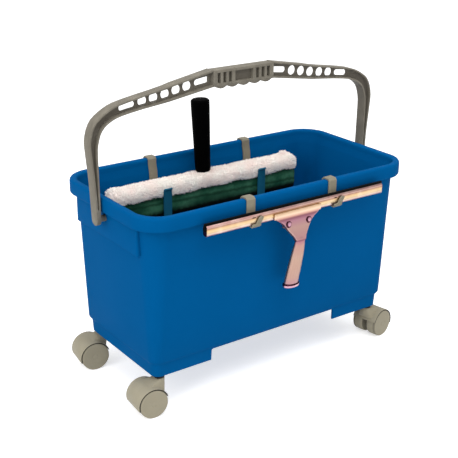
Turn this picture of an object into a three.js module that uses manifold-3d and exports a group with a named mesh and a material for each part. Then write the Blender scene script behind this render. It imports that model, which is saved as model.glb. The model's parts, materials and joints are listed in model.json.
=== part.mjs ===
// A wheeled window cleaning bucket: moulded tub on four twin wheel casters, bail handle,
// rim holders, and the squeegee and washer that hang on them. Millimetres, +Z up, +X along the tub.
import * as THREE from 'three';
import { mergeVertices } from 'three/addons/utils/BufferGeometryUtils.js';
import Module from 'manifold-3d';

const wasm = await Module();
wasm.setup();

// Clearances shared by all pieces
const seatGap = 0.3;
const overrun = 5;
const weldDistance = 0.0001;

// Tub
const rimLength = 510;
const rimWidth = 264;
const rimTop = 326;
const rimCorner = 48;
const lipHeight = 22;
const lipOverhang = 12;
const lipWidth = 12;
const lipRound = 3;
const tubWall = 3;
const baseLength = 454;
const baseWidth = 202.5;
const baseCorner = 13;
const footHeight = 60;
const stepStart = 21;
const stepRise = 6;
const stepInset = 4.5;
const wallDraft = 1.5;
const notchLength = 249;
const notchHeight = 20;
const apronDrop = 45;
const apronWidth = 182;
const apronProud = 4;
const apronRound = 6;

// Casters
const wheelRadius = 23.5;
const wheelWidth = 18.5;
const wheelEdge = 1.5;
const wheelFaceStep = 0.6;
const spineWidth = 9.6;
const fenderGap = 0.6;
const fenderWall = 1.3;
const fenderEdge = 1;
const casterTrail = 20;
const casterInsetX = 13.5;
const casterInsetY = 11.25;
const axleRadius = 2.5;
const stemRadius = 4;
const stemInHood = 9.7;
const stemInTub = 18;
const hoodBossRadius = 8.4;
const collarRadius = 8;
const collarHeight = 4.5;
const sleeveWall = 1.7;
const socketBossWall = 3.4;
const fenderLowAngle = -17;
const fenderStemAngle = 161;
const neckFrontAngle = 88;
const neckBackAngle = 152;
const hoodNeckHalfWidth = 14;
const casterAngles = { front_left: 175, rear_left: 172, front_right: 11, rear_right: 9 };

// Bail handle
const pivotHeight = 292;
const bailStandOff = 16.5;
const bailRise = 200;
const bailDepth = 18;
const bailWeb = 2.4;
const bailFlange = 2.4;
const gripHalfLength = 57.5;
const gripSink = 1.3;
const gripDepth = 19;
const gripPitch = 21.5;
const gripBumpDrop = 4;
const gripBumps = 5;
const gripPanelLength = 34;
const gripPanelSink = 6.5;
const gripWindowWidth = 6;
const gripWindowPitch = 10.6;
const gripWindowStartShare = 0.85;
const gripWindows = 3;
const gripWindowHeight = 16.5;
const gripWindowSink = 7;
const armHoleDiameter = 15;
const armSlotLength = 27;
const armSlotHeight = 10;
const pegRadius = 5;
const pegReach = 14.4;
const eyeHeight = 11;
// Outer and inner edge of one arm from the pivot to the grip: how far in from the outermost
// point, as a share of the run to the grip, and how high, as a share of the rise.
const armOuterShares = [
  [0.035, 0], [0.029, 0.15], [0.022, 0.29], [0.01, 0.44], [0, 0.555], [0.002, 0.615],
  [0.021, 0.69], [0.054, 0.7475], [0.105, 0.79], [0.1655, 0.825], [0.2308, 0.85],
  [0.3846, 0.88], [0.5804, 0.9125], [0.7063, 0.942], [1, 0.998],
];
const armInnerShares = [
  [0.0653, 0], [0.0629, 0.15], [0.0611, 0.29], [0.0597, 0.44], [0.0606, 0.54], [0.0695, 0.595],
  [0.0886, 0.655], [0.1166, 0.695], [0.1562, 0.725], [0.2028, 0.7475], [0.2587, 0.7625],
  [0.3986, 0.785], [0.5944, 0.806], [0.7203, 0.826], [1, 0.87],
];
const armHoleShares = [0.797, 0.7068, 0.6163, 0.5231, 0.4326];
const armSlotShares = [0.9207, 0.31];

// Holders on the rim
const strapThickness = 2.5;
const strapWidth = 15;
const strapTail = 16;
const hookTail = 6;
const rearHolderPlaces = { left: -92, right: 100 };
const rearHolderBottom = 231.1;
const rearHolderGap = 37.5;
const rearHolderFront = 53.1;
const rearHolderFlag = 3.5;
const frontHookPlaces = { left: -77, right: 81 };
const hookFingerWidth = 8;
const hookFingerSlant = 7;
const hookFingerRise = 12;
const hookFingerOffset = 5;
const cradleGap = 0.8;

// Squeegee
const squeegeeCentre = 6;
const squeegeeHeight = 297;
const squeegeeStandOff = 6.9;
const squeegeeLean = 2;
const handleOffset = -5;
const channelLength = 340;
const channelHeight = 15;
const channelDepth = 10;
const channelWall = 1.9;
const channelSlot = 3;
const channelEdge = 2;
const rubberProud = 4.5;
const rubberOverhang = 2;
const jawThickness = 3;
const jawHalfWidth = 45;
const jawRise = 3;
const jawDrop = 7;
const neckDrop = 50;
const neckHalfWidth = 9;
const neckHalfDepth = 4.6;
const plateTilt = 10;
const handleDrop = 123;
const handleHalfWidth = 12.5;
const handleHalfDepth = 8;
const plateThickness = 8;
// Grip of the handle: how far up to the neck, and its width and depth there.
const handleShares = [[0, 1, 1], [0.4, 0.94, 1], [0.75, 0.84, 0.85]];
const screwSpacing = 39;
const screwDrop = 17.5;
const screwRadius = 1.6;
const screwHeadRadius = 3.6;
const screwHeadHeight = 1.8;
const clampHalfWidth = 24;
const clampThickness = 2.2;
const clampDrop = 24;
const capThickness = 5;
const capProud = 1.2;
const capSpigot = 9;
const capSpigotRadius = 5;

// Washer
const washerCentre = -3.5;
const washerLength = 377;
const washerTop = 297;
const washerSplit = 274;
const washerSeat = 1.4;
const barLength = 350;
const barHeight = 24;
const barDepth = 10;
const barDrop = 8;
const neckRadius = 8;
const washerNeckRise = 26;
const washerGripCentre = -12;
const washerGripTop = 421;
const washerGripTopRadius = 15.6;
const washerGripLowRadius = 13;
const washerGripRound = 2.5;
const washerGripShares = [[0.25, 0.3], [0.6, 0.7], [0.9, 1]];

// Facets
const cornerSteps = 6;
const roundSteps = 28;
const smallSteps = 16;
const armSteps = 24;
const holeSteps = 14;
const sleeveRingSteps = 24;
const fenderSteps = 16;
const edgeSteps = 2;
const bumpSteps = 5;
const apronSteps = 3;
const jawSteps = 8;
const searchSteps = 30;
const rightAngle = Math.PI / 2;

// Colours and finish
const tubFinish = { color: 0x03558d, roughness: 0.45, metalness: 0 };
const bailFinish = { color: 0x8c8276, roughness: 0.5, metalness: 0 };
const casterFinish = { color: 0xaaa594, roughness: 0.45, metalness: 0 };
const steelFinish = { color: 0x3c3c3e, roughness: 0.35, metalness: 1 };
const sleeveFinish = { color: 0x2c2c2c, roughness: 0.5, metalness: 0 };
const hookFinish = { color: 0x8f877c, roughness: 0.5, metalness: 0 };
const holderFinish = { color: 0x1c5f78, roughness: 0.5, metalness: 0 };
const brassFinish = { color: 0xe0b070, roughness: 0.25, metalness: 1 };
const copperFinish = { color: 0xd09a86, roughness: 0.35, metalness: 1 };
const rubberFinish = { color: 0x101012, roughness: 0.7, metalness: 0 };
const blackFinish = { color: 0x0b0b0c, roughness: 0.6, metalness: 0 };
const fleeceFinish = { color: 0xf2ebe6, roughness: 1, metalness: 0 };
const scrubFinish = { color: 0x1f6a50, roughness: 0.9, metalness: 0 };

// Sizes that follow from the ones above
const lipBottom = rimTop - lipHeight;
const flareTop = rimTop - lipRound - hookTail;
const wallTopLength = rimLength / 2 - lipOverhang;
const wallTopWidth = rimWidth / 2 - lipOverhang;
const stepTopLength = baseLength / 2 + wallDraft + stepInset;
const stepTopWidth = baseWidth / 2 + wallDraft + stepInset;
const stepBottomHeight = footHeight + stepStart;
const stepTopHeight = stepBottomHeight + stepRise;
const casterX = baseLength / 2 - casterInsetX;
const casterY = baseWidth / 2 - casterInsetY;
const apronFace = wallTopLength + apronProud;
const apronBottom = Math.min(lipBottom - apronDrop, pivotHeight - eyeHeight - apronRound);
const earTop = Math.max(rimTop - lipRound, pivotHeight + eyeHeight);
const bailHalfSpan = rimLength / 2 + bailStandOff;
const bailRun = bailHalfSpan - gripHalfLength;
const channelY = -(rimWidth / 2 + seatGap + strapThickness + squeegeeStandOff);

// Geometry helpers
const acrossX = new THREE.Matrix4().makeBasis(
  new THREE.Vector3(0, 1, 0), new THREE.Vector3(0, 0, 1), new THREE.Vector3(1, 0, 0));
const acrossY = new THREE.Matrix4().makeBasis(
  new THREE.Vector3(1, 0, 0), new THREE.Vector3(0, 0, 1), new THREE.Vector3(0, -1, 0));

// Closed three.js geometry as a solid whose faces point out.
function solidFrom(geometry) {
  const plain = geometry.clone();
  plain.deleteAttribute('normal');
  plain.deleteAttribute('uv');
  const merged = mergeVertices(plain, weldDistance);
  const points = merged.attributes.position.array;
  const corners = Uint32Array.from(merged.index.array);
  let volume = 0;
  const a = new THREE.Vector3();
  const b = new THREE.Vector3();
  const c = new THREE.Vector3();
  for (let i = 0; i < corners.length; i += 3) {
    a.fromArray(points, 3 * corners[i]);
    b.fromArray(points, 3 * corners[i + 1]);
    c.fromArray(points, 3 * corners[i + 2]);
    volume += a.dot(b.cross(c));
  }
  if (volume < 0) {
    corners.reverse();
  }
  const kept = [];
  for (let i = 0; i < corners.length; i += 3) {
    const [p, q, r] = [corners[i], corners[i + 1], corners[i + 2]];
    if (p !== q && q !== r && r !== p) {
      kept.push(p, q, r);
    }
  }
  return new wasm.Manifold(new wasm.Mesh({
    numProp: 3,
    vertProperties: Float32Array.from(points),
    triVerts: Uint32Array.from(kept),
  }));
}

// Named mesh of a solid.
function meshOf(name, solid, finish) {
  const faces = solid.getMesh();
  const geometry = new THREE.BufferGeometry();
  geometry.setAttribute('position', new THREE.BufferAttribute(Float32Array.from(faces.vertProperties), 3));
  geometry.setIndex(new THREE.BufferAttribute(Uint32Array.from(faces.triVerts), 1));
  geometry.computeVertexNormals();
  const mesh = new THREE.Mesh(geometry, new THREE.MeshStandardMaterial(finish));
  mesh.name = name;
  return mesh;
}

// Flat outline given thickness, centred on its plane.
function extruded(outline, depth, placement) {
  const geometry = new THREE.ExtrudeGeometry(new THREE.Shape(outline), { depth, bevelEnabled: false });
  geometry.translate(0, 0, -depth / 2);
  geometry.applyMatrix4(placement);
  return solidFrom(geometry);
}

// Outline of (y, z) points drawn out along X.
function drawnAlongX(outline, width, centre) {
  return extruded(outline, width, acrossX).translate([centre, 0, 0]);
}

// Outline of (x, z) points drawn out along Y, from one y to another.
function drawnAlongY(outline, from, to) {
  return extruded(outline, to - from, acrossY).translate([0, (from + to) / 2, 0]);
}

function box(from, to) {
  const size = new THREE.Vector3().subVectors(to, from);
  const geometry = new THREE.BoxGeometry(size.x, size.y, size.z);
  geometry.translate((from.x + to.x) / 2, (from.y + to.y) / 2, (from.z + to.z) / 2);
  return solidFrom(geometry);
}

function rod(radius, from, to, steps) {
  const geometry = new THREE.CylinderGeometry(radius, radius, to - from, steps);
  geometry.translate(0, (from + to) / 2, 0);
  return geometry;
}

function rodAlongX(radius, from, to, steps = smallSteps) {
  return solidFrom(rod(radius, from, to, steps).rotateZ(-rightAngle));
}

function rodAlongY(radius, from, to, steps = smallSteps) {
  return solidFrom(rod(radius, from, to, steps));
}

function rodAlongZ(radius, from, to, steps = smallSteps) {
  return solidFrom(rod(radius, from, to, steps).rotateX(rightAngle));
}

// Solid through rings of points, closed flat at its first and last ring.
function loft(rings) {
  const count = rings[0].length;
  const positions = rings.flat().flatMap((point) => [point.x, point.y, point.z]);
  const index = [];
  for (let i = 0; i + 1 < rings.length; i += 1) {
    for (let j = 0; j < count; j += 1) {
      const a = i * count + j;
      const b = i * count + (j + 1) % count;
      index.push(a, b, b + count, a, b + count, a + count);
    }
  }
  const last = (rings.length - 1) * count;
  for (let j = 1; j + 1 < count; j += 1) {
    index.push(0, j + 1, j);
    index.push(last, last + j, last + j + 1);
  }
  const geometry = new THREE.BufferGeometry();
  geometry.setAttribute('position', new THREE.Float32BufferAttribute(positions, 3));
  geometry.setIndex(index);
  return solidFrom(geometry);
}

// Rounded rectangle at a height, anticlockwise seen from above.
function roundedRing(halfLength, halfWidth, radius, height) {
  const ring = [];
  for (let corner = 0; corner < 4; corner += 1) {
    const sideX = corner === 0 || corner === 3 ? 1 : -1;
    const sideY = corner < 2 ? 1 : -1;
    for (let step = 0; step <= cornerSteps; step += 1) {
      const angle = (corner + step / cornerSteps) * rightAngle;
      ring.push(new THREE.Vector3(
        sideX * (halfLength - radius) + radius * Math.cos(angle),
        sideY * (halfWidth - radius) + radius * Math.sin(angle),
        height));
    }
  }
  return ring;
}

// Path moved to its left by a distance, mitred at its bends.
function offsetPath(path, distance) {
  return path.map((point, i) => {
    const before = path[Math.max(i - 1, 0)];
    const after = path[Math.min(i + 1, path.length - 1)];
    const arriving = new THREE.Vector2().subVectors(point, before);
    const leaving = new THREE.Vector2().subVectors(after, point);
    if (i === 0) {
      arriving.copy(leaving);
    }
    if (i === path.length - 1) {
      leaving.copy(arriving);
    }
    arriving.normalize();
    leaving.normalize();
    const side = new THREE.Vector2(-arriving.y, arriving.x);
    const mitre = new THREE.Vector2(-leaving.y, leaving.x).add(side).normalize();
    return point.clone().addScaledVector(mitre, distance / mitre.dot(side));
  });
}

// Bent strip of even thickness as a flat outline.
function stripOutline(path, thickness) {
  return [...offsetPath(path, thickness / 2), ...offsetPath(path, -thickness / 2).reverse()];
}

// Tub: tapered box with a hanging lip, a step above the feet, and a tunnel between the feet.
function wallShare(height) {
  return (height - stepTopHeight) / (lipBottom - stepTopHeight);
}

function wallHalfWidth(height) {
  return THREE.MathUtils.lerp(stepTopWidth, wallTopWidth, wallShare(height));
}

function wallHalfLength(height) {
  return THREE.MathUtils.lerp(stepTopLength, wallTopLength, wallShare(height));
}

function tubSkin(inset) {
  const stepCorner = baseCorner + stepInset;
  const topCorner = rimCorner - lipOverhang;
  const ring = (halfLength, halfWidth, corner, height) => (
    roundedRing(halfLength - inset, halfWidth - inset, corner - inset, height));
  return [
    ring(baseLength / 2, baseWidth / 2, baseCorner, footHeight),
    ring(baseLength / 2 + wallDraft, baseWidth / 2 + wallDraft, baseCorner + wallDraft, stepBottomHeight),
    ring(stepTopLength, stepTopWidth, stepCorner, stepTopHeight),
    ring(wallTopLength, wallTopWidth, topCorner, lipBottom),
  ];
}

function lipRings() {
  const ring = (inset, height) => (
    roundedRing(rimLength / 2 - inset, rimWidth / 2 - inset, rimCorner - inset, height));
  return [
    ring(lipWidth - tubWall, lipBottom + tubWall),
    ring(lipWidth - tubWall, rimTop - tubWall),
    ring(tubWall, rimTop - tubWall),
    ring(tubWall, lipBottom),
    ring(tubWall / 3, lipBottom),
    ring(0, lipBottom + tubWall / 2),
    ring(0, rimTop - lipRound),
    ring(lipRound / 3, rimTop - lipRound / 3),
    ring(lipRound, rimTop),
  ];
}

function cavityRings() {
  const ring = (outset, height) => roundedRing(
    rimLength / 2 - lipWidth + outset, rimWidth / 2 - lipWidth + outset,
    rimCorner - lipWidth + outset, height);
  const [, stepBottom, ...upper] = tubSkin(tubWall);
  const floor = stepBottom.map((point) => point.clone().setZ(footHeight + notchHeight + tubWall));
  return [
    floor,
    ...upper,
    ring(0, flareTop),
    ring(0, rimTop - lipRound),
    ring(lipRound, rimTop),
    ring(lipRound + overrun, rimTop + overrun),
  ];
}

function apronOutline() {
  const half = apronWidth / 2;
  const top = lipBottom + 2 * tubWall;
  const outline = [new THREE.Vector2(half, top), new THREE.Vector2(-half, top)];
  for (const side of [-1, 1]) {
    for (let step = 0; step <= apronSteps; step += 1) {
      const turn = side < 0 ? 2 : 3;
      const angle = (turn + step / apronSteps) * rightAngle;
      outline.push(new THREE.Vector2(
        side * (half - apronRound) + apronRound * Math.cos(angle),
        apronBottom + apronRound + apronRound * Math.sin(angle)));
    }
  }
  return outline;
}

function makeTub() {
  const cavity = loft(cavityRings());
  let tub = loft([...tubSkin(0), ...lipRings()]);
  const apronInner = wallHalfLength(apronBottom) - tubWall / 2;
  for (const side of [-1, 1]) {
    const apron = drawnAlongX(apronOutline(), apronFace - apronInner, side * (apronFace + apronInner) / 2);
    tub = tub.add(apron);
  }
  tub = tub.subtract(cavity);
  const ear = box(
    new THREE.Vector3(seatGap, -bailDepth, lipBottom + tubWall + seatGap),
    new THREE.Vector3(tubWall - seatGap, bailDepth, earTop - seatGap));
  const rightEar = ear.translate([rimLength / 2 - lipWidth, 0, 0]);
  tub = tub.add(rightEar).add(rightEar.mirror([1, 0, 0]));
  const underside = roundedRing(
    baseLength / 2 - tubWall, baseWidth / 2 - tubWall, baseCorner - tubWall, footHeight + notchHeight);
  const mouth = underside.map((point) => point.clone().setZ(footHeight - overrun));
  tub = tub.subtract(loft([mouth, underside]));
  const bossRadius = stemRadius + seatGap + sleeveWall + seatGap + socketBossWall;
  const socketTop = footHeight + stemInTub + 3 * seatGap;
  for (const sideX of [-1, 1]) {
    for (const sideY of [-1, 1]) {
      const place = [sideX * casterX, sideY * casterY, 0];
      const boss = rodAlongZ(bossRadius, footHeight, footHeight + notchHeight + seatGap);
      const socket = rodAlongZ(bossRadius - socketBossWall, footHeight - overrun, socketTop);
      tub = tub.add(boss.translate(place)).subtract(socket.translate(place));
    }
  }
  const notch = box(
    new THREE.Vector3(-notchLength / 2, -rimWidth, footHeight - overrun),
    new THREE.Vector3(notchLength / 2, rimWidth, footHeight + notchHeight));
  tub = tub.subtract(notch);
  const pegInner = bailLegInner() - pegReach - seatGap;
  for (const side of [-1, 1]) {
    const ends = [side * pegInner, side * (apronFace + overrun)].sort((p, q) => p - q);
    const hole = rodAlongX(pegRadius + seatGap, ends[0], ends[1]);
    tub = tub.subtract(hole.translate([0, 0, pivotHeight]));
  }
  return tub;
}

// Bail handle: two arms of channel section, pierced webs, and a ribbed grip in the middle.
function armCurve(shares) {
  return new THREE.SplineCurve(shares.map(([inShare, upShare]) => new THREE.Vector2(
    bailHalfSpan - inShare * bailRun,
    pivotHeight + upShare * bailRise)));
}

const outerArm = armCurve(armOuterShares);
const innerArm = armCurve(armInnerShares);

function bailLegInner() {
  return innerArm.getPoint(0).x;
}

function armPair(t) {
  return [outerArm.getPoint(t), innerArm.getPoint(t)];
}

// Middle of the arm and its slope where it passes a share of the run to the grip.
function armMiddle(inShare) {
  const wanted = bailHalfSpan - inShare * bailRun;
  let low = 0;
  let high = 1;
  for (let step = 0; step < searchSteps; step += 1) {
    const t = (low + high) / 2;
    const [outer, inner] = armPair(t);
    if ((outer.x + inner.x) / 2 > wanted) {
      low = t;
    } else {
      high = t;
    }
  }
  const [outer, inner] = armPair(low);
  const along = innerArm.getTangent(low);
  return { centre: outer.add(inner).multiplyScalar(0.5), slope: Math.atan2(along.y, along.x) };
}

function armOutline(inset) {
  const outerSide = [];
  const innerSide = [];
  for (let step = 0; step <= armSteps; step += 1) {
    const [outer, inner] = armPair(step / armSteps);
    if (inset > 0 && outer.y < pivotHeight + eyeHeight) {
      continue;
    }
    const across = new THREE.Vector2().subVectors(inner, outer).normalize();
    outerSide.push(outer.clone().addScaledVector(across, inset));
    innerSide.unshift(inner.clone().addScaledVector(across, -inset));
  }
  if (inset === 0) {
    const drop = bailDepth / 2;
    outerSide.unshift(new THREE.Vector2(outerSide[0].x, pivotHeight - drop));
    innerSide.push(new THREE.Vector2(innerSide[innerSide.length - 1].x, pivotHeight - drop));
  }
  return [...outerSide, ...innerSide];
}

// Slot with round ends, or a round hole when its length is its height.
function slotOutline(centre, length, height, slope) {
  const outline = [];
  const reach = (length - height) / 2;
  for (let step = 0; step < holeSteps; step += 1) {
    const angle = 2 * Math.PI * (step + 0.5) / holeSteps;
    const side = Math.cos(angle) > 0 ? 1 : -1;
    const point = new THREE.Vector2(
      side * reach + height / 2 * Math.cos(angle),
      height / 2 * Math.sin(angle));
    outline.push(point.rotateAround(new THREE.Vector2(), slope).add(centre));
  }
  return outline;
}

function makeBailArm() {
  const half = bailDepth / 2;
  let arm = drawnAlongY(armOutline(0), -half, half);
  const foot = rodAlongX(half, bailLegInner() - overrun, bailHalfSpan + overrun);
  const keepAbove = box(
    new THREE.Vector3(0, -bailDepth, pivotHeight),
    new THREE.Vector3(bailHalfSpan + overrun, bailDepth, pivotHeight + 2 * bailRise));
  arm = arm.intersect(keepAbove.add(foot.translate([0, 0, pivotHeight])));
  const recess = armOutline(bailFlange);
  arm = arm.subtract(drawnAlongY(recess, bailWeb / 2, bailDepth));
  arm = arm.subtract(drawnAlongY(recess, -bailDepth, -bailWeb / 2));
  for (const inShare of armHoleShares) {
    const { centre, slope } = armMiddle(inShare);
    const hole = slotOutline(centre, armHoleDiameter, armHoleDiameter, slope);
    arm = arm.subtract(drawnAlongY(hole, -bailDepth, bailDepth));
  }
  for (const inShare of armSlotShares) {
    const { centre, slope } = armMiddle(inShare);
    const slot = slotOutline(centre, armSlotLength, armSlotHeight, slope);
    arm = arm.subtract(drawnAlongY(slot, -bailDepth, bailDepth));
  }
  const peg = rodAlongX(pegRadius, bailLegInner() - pegReach, bailLegInner() + tubWall);
  return arm.add(peg.translate([0, 0, pivotHeight]));
}

function makeBailGrip() {
  const top = pivotHeight + bailRise - gripSink;
  const underside = innerArm.getPoint(1).y;
  const outline = [
    new THREE.Vector2(gripHalfLength, top),
    new THREE.Vector2(-gripHalfLength, top),
    new THREE.Vector2(-gripHalfLength, underside),
  ];
  const firstBump = -(gripBumps - 1) / 2 * gripPitch;
  for (let bump = 0; bump < gripBumps; bump += 1) {
    for (let step = 0; step <= bumpSteps; step += 1) {
      const share = step / bumpSteps - 0.5;
      outline.push(new THREE.Vector2(
        firstBump + (bump + share) * gripPitch,
        underside - gripBumpDrop * (1 - 4 * share * share)));
    }
  }
  outline.push(new THREE.Vector2(gripHalfLength, underside));
  const half = gripDepth / 2;
  let grip = drawnAlongY(outline, -half, half);
  const windowMiddle = (top + underside) / 2;
  const recess = (from, to, sink) => {
    for (const [near, far] of [[-gripDepth, sink - half], [half - sink, gripDepth]]) {
      grip = grip.subtract(box(
        new THREE.Vector3(from, near, windowMiddle - gripWindowHeight / 2),
        new THREE.Vector3(to, far, windowMiddle + gripWindowHeight / 2)));
    }
  };
  recess(-gripPanelLength / 2, gripPanelLength / 2, gripPanelSink);
  for (const side of [-1, 1]) {
    for (let i = 0; i < gripWindows; i += 1) {
      const middle = side * (gripPanelLength / 2 + (i + gripWindowStartShare) * gripWindowPitch);
      recess(middle - gripWindowWidth / 2, middle + gripWindowWidth / 2, gripWindowSink);
    }
  }
  return grip;
}

function makeBail() {
  const arm = makeBailArm();
  return arm.add(arm.mirror([1, 0, 0])).add(makeBailGrip());
}

// Neck of a caster's hood: its boss round the stem, drawn together with the crown of the hood.
function makeHoodNeck(top) {
  const reach = wheelRadius + fenderGap + fenderWall / 2;
  const crown = [];
  for (let step = 0; step <= bumpSteps; step += 1) {
    const angle = THREE.MathUtils.degToRad(
      THREE.MathUtils.lerp(neckFrontAngle, neckBackAngle, step / bumpSteps));
    crown.push(new THREE.Vector2(
      casterTrail + reach * Math.cos(angle), wheelRadius + reach * Math.sin(angle)));
  }
  return wasm.Manifold.hull([
    rodAlongZ(hoodBossRadius, top - stemInHood - tubWall, top),
    drawnAlongY(crown, -hoodNeckHalfWidth, hoodNeckHalfWidth),
  ]);
}

// Caster, with its stem on the Z axis and its wheels trailing along +X.
function makeHood() {
  const outer = wheelRadius + fenderGap + fenderWall;
  const half = spineWidth / 2 + seatGap + wheelWidth;
  const low = THREE.MathUtils.degToRad(fenderLowAngle);
  const high = THREE.MathUtils.degToRad(fenderStemAngle);
  const shape = new THREE.Shape();
  for (let step = 0; step <= fenderSteps; step += 1) {
    const angle = THREE.MathUtils.lerp(low, high, step / fenderSteps);
    const x = casterTrail + outer * Math.cos(angle);
    const z = wheelRadius + outer * Math.sin(angle);
    if (step === 0) {
      shape.moveTo(x, z);
    } else {
      shape.lineTo(x, z);
    }
  }
  shape.closePath();
  const geometry = new THREE.ExtrudeGeometry(shape, {
    depth: 2 * (half - fenderEdge),
    bevelThickness: fenderEdge,
    bevelSize: fenderEdge,
    bevelOffset: -fenderEdge,
    bevelSegments: edgeSteps,
  });
  geometry.translate(0, 0, -(half - fenderEdge));
  geometry.applyMatrix4(acrossY);
  let hood = solidFrom(geometry);
  const bossTop = footHeight - seatGap - collarHeight - seatGap;
  hood = hood.add(makeHoodNeck(bossTop));
  for (const side of [-1, 1]) {
    const ends = [side * spineWidth / 2, side * (half + overrun)].sort((p, q) => p - q);
    const room = rodAlongY(wheelRadius + fenderGap, ends[0], ends[1], roundSteps);
    hood = hood.subtract(room.translate([casterTrail, 0, wheelRadius]));
  }
  const axleHole = rodAlongY(axleRadius + seatGap, -half, half);
  hood = hood.subtract(axleHole.translate([casterTrail, 0, wheelRadius]));
  return hood.subtract(rodAlongZ(stemRadius + seatGap, bossTop - stemInHood - seatGap, bossTop + overrun));
}

function makeStem() {
  const collarTop = footHeight - seatGap;
  const collarBottom = collarTop - collarHeight;
  const stem = rodAlongZ(stemRadius, collarBottom - seatGap - stemInHood, footHeight + stemInTub);
  return stem.add(rodAlongZ(collarRadius, collarBottom, collarTop));
}

function makeSocketSleeve() {
  const top = footHeight + stemInTub + seatGap;
  const tube = rodAlongZ(stemRadius + seatGap + sleeveWall, footHeight, top);
  return tube.subtract(rodAlongZ(stemRadius + seatGap, footHeight - overrun, top + overrun));
}

// Wheel on the Y axis, its open bore facing the spine; a flat of its rim faces down.
function makeWheel() {
  const inner = spineWidth / 2 + seatGap;
  const outer = inner + wheelWidth;
  const boreEnd = outer - 2 * wheelEdge + seatGap;
  const facetShare = 1 / Math.cos(Math.PI / roundSteps);
  const profile = [
    [0, boreEnd],
    [axleRadius + seatGap, boreEnd],
    [axleRadius + seatGap, inner],
    [wheelRadius - wheelEdge / 2, inner],
    [wheelRadius, inner + wheelEdge / 2],
    [wheelRadius, outer - wheelEdge],
    [wheelRadius - wheelFaceStep / 3, outer - wheelEdge / 2],
    [wheelRadius - wheelFaceStep, outer - wheelEdge / 6],
    [wheelRadius - 2 * wheelFaceStep, outer],
    [0, outer],
  ];
  const points = profile.map(([radius, along]) => new THREE.Vector2(radius * facetShare, along));
  const geometry = new THREE.LatheGeometry(points, roundSteps, Math.PI / roundSteps);
  return solidFrom(geometry);
}

function makeCaster(name, angle) {
  const swivel = new THREE.Group();
  const sideX = name.endsWith('left') ? -1 : 1;
  const sideY = name.startsWith('front') ? -1 : 1;
  swivel.position.set(sideX * casterX, sideY * casterY, 0);
  swivel.rotation.z = THREE.MathUtils.degToRad(angle);
  swivel.add(meshOf(`caster_hood_${name}`, makeHood(), casterFinish));
  swivel.add(meshOf(`caster_stem_${name}`, makeStem(), steelFinish));
  const half = spineWidth / 2 + seatGap + wheelWidth - 2 * wheelEdge;
  const axle = meshOf(`caster_axle_${name}`, rodAlongY(axleRadius, -half, half), steelFinish);
  axle.position.set(casterTrail, 0, wheelRadius);
  swivel.add(axle);
  for (const [wheelName, turn] of [['a', 0], ['b', Math.PI]]) {
    const wheel = meshOf(`caster_wheel_${wheelName}_${name}`, makeWheel(), casterFinish);
    wheel.position.set(casterTrail, 0, wheelRadius);
    wheel.rotation.z = turn;
    swivel.add(wheel);
  }
  return swivel;
}

// Rear holder: strap over the rim, down the inner wall, under the washer and up in front of it.
function rearHolderPath() {
  const top = rimTop + seatGap + strapThickness / 2;
  const outside = rimWidth / 2 + seatGap + strapThickness / 2;
  const wall = [
    new THREE.Vector2(rimWidth / 2 - lipWidth, top - strapThickness),
    new THREE.Vector2(rimWidth / 2 - lipWidth, flareTop),
    new THREE.Vector2(wallTopWidth - tubWall, lipBottom),
    new THREE.Vector2(wallHalfWidth(rearHolderBottom) - tubWall, rearHolderBottom + strapThickness),
  ];
  const inside = offsetPath(wall, -(seatGap + strapThickness / 2));
  const low = inside[inside.length - 1].x;
  const front = low - rearHolderGap - strapThickness;
  return [
    new THREE.Vector2(outside, top - strapTail),
    new THREE.Vector2(outside, top - strapThickness),
    new THREE.Vector2(outside - strapThickness, top),
    new THREE.Vector2(inside[0].x + strapThickness, top),
    ...inside,
    new THREE.Vector2(low - strapThickness, rearHolderBottom),
    new THREE.Vector2(front + strapThickness, rearHolderBottom),
    new THREE.Vector2(front, rearHolderBottom + strapThickness),
    new THREE.Vector2(front, rearHolderBottom + rearHolderFront),
    new THREE.Vector2(front - rearHolderFlag, rearHolderBottom + rearHolderFront + rearHolderFlag),
  ];
}

function makeRearHolder(place) {
  return drawnAlongX(stripOutline(rearHolderPath(), strapThickness), strapWidth, place);
}

// Point of the squeegee's own (y, z) plane in the tub's frame.
function leaned(y, z) {
  return new THREE.Vector2(y, z)
    .rotateAround(new THREE.Vector2(), THREE.MathUtils.degToRad(squeegeeLean))
    .add(new THREE.Vector2(channelY, squeegeeHeight));
}

// Front hook: strap over the rim and down outside, with a cradle under the squeegee's channel.
function frontHookPath() {
  const top = rimTop + seatGap + strapThickness / 2;
  const outside = -(rimWidth / 2 + seatGap + strapThickness / 2);
  const inside = -(rimWidth / 2 - lipWidth - seatGap - strapThickness / 2);
  const floor = -(channelHeight / 2 + cradleGap + strapThickness / 2);
  const front = -(channelDepth / 2 + cradleGap + strapThickness / 2);
  const corner = leaned(channelDepth / 2, floor);
  return [
    new THREE.Vector2(inside, top - hookTail),
    new THREE.Vector2(inside, top - strapThickness),
    new THREE.Vector2(inside - strapThickness, top),
    new THREE.Vector2(outside + strapThickness, top),
    new THREE.Vector2(outside, top - strapThickness),
    new THREE.Vector2(outside, corner.y + strapThickness),
    corner,
    leaned(front + strapThickness, floor),
    leaned(front, floor + strapThickness),
    leaned(front, floor + 2 * strapThickness),
  ];
}

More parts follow.
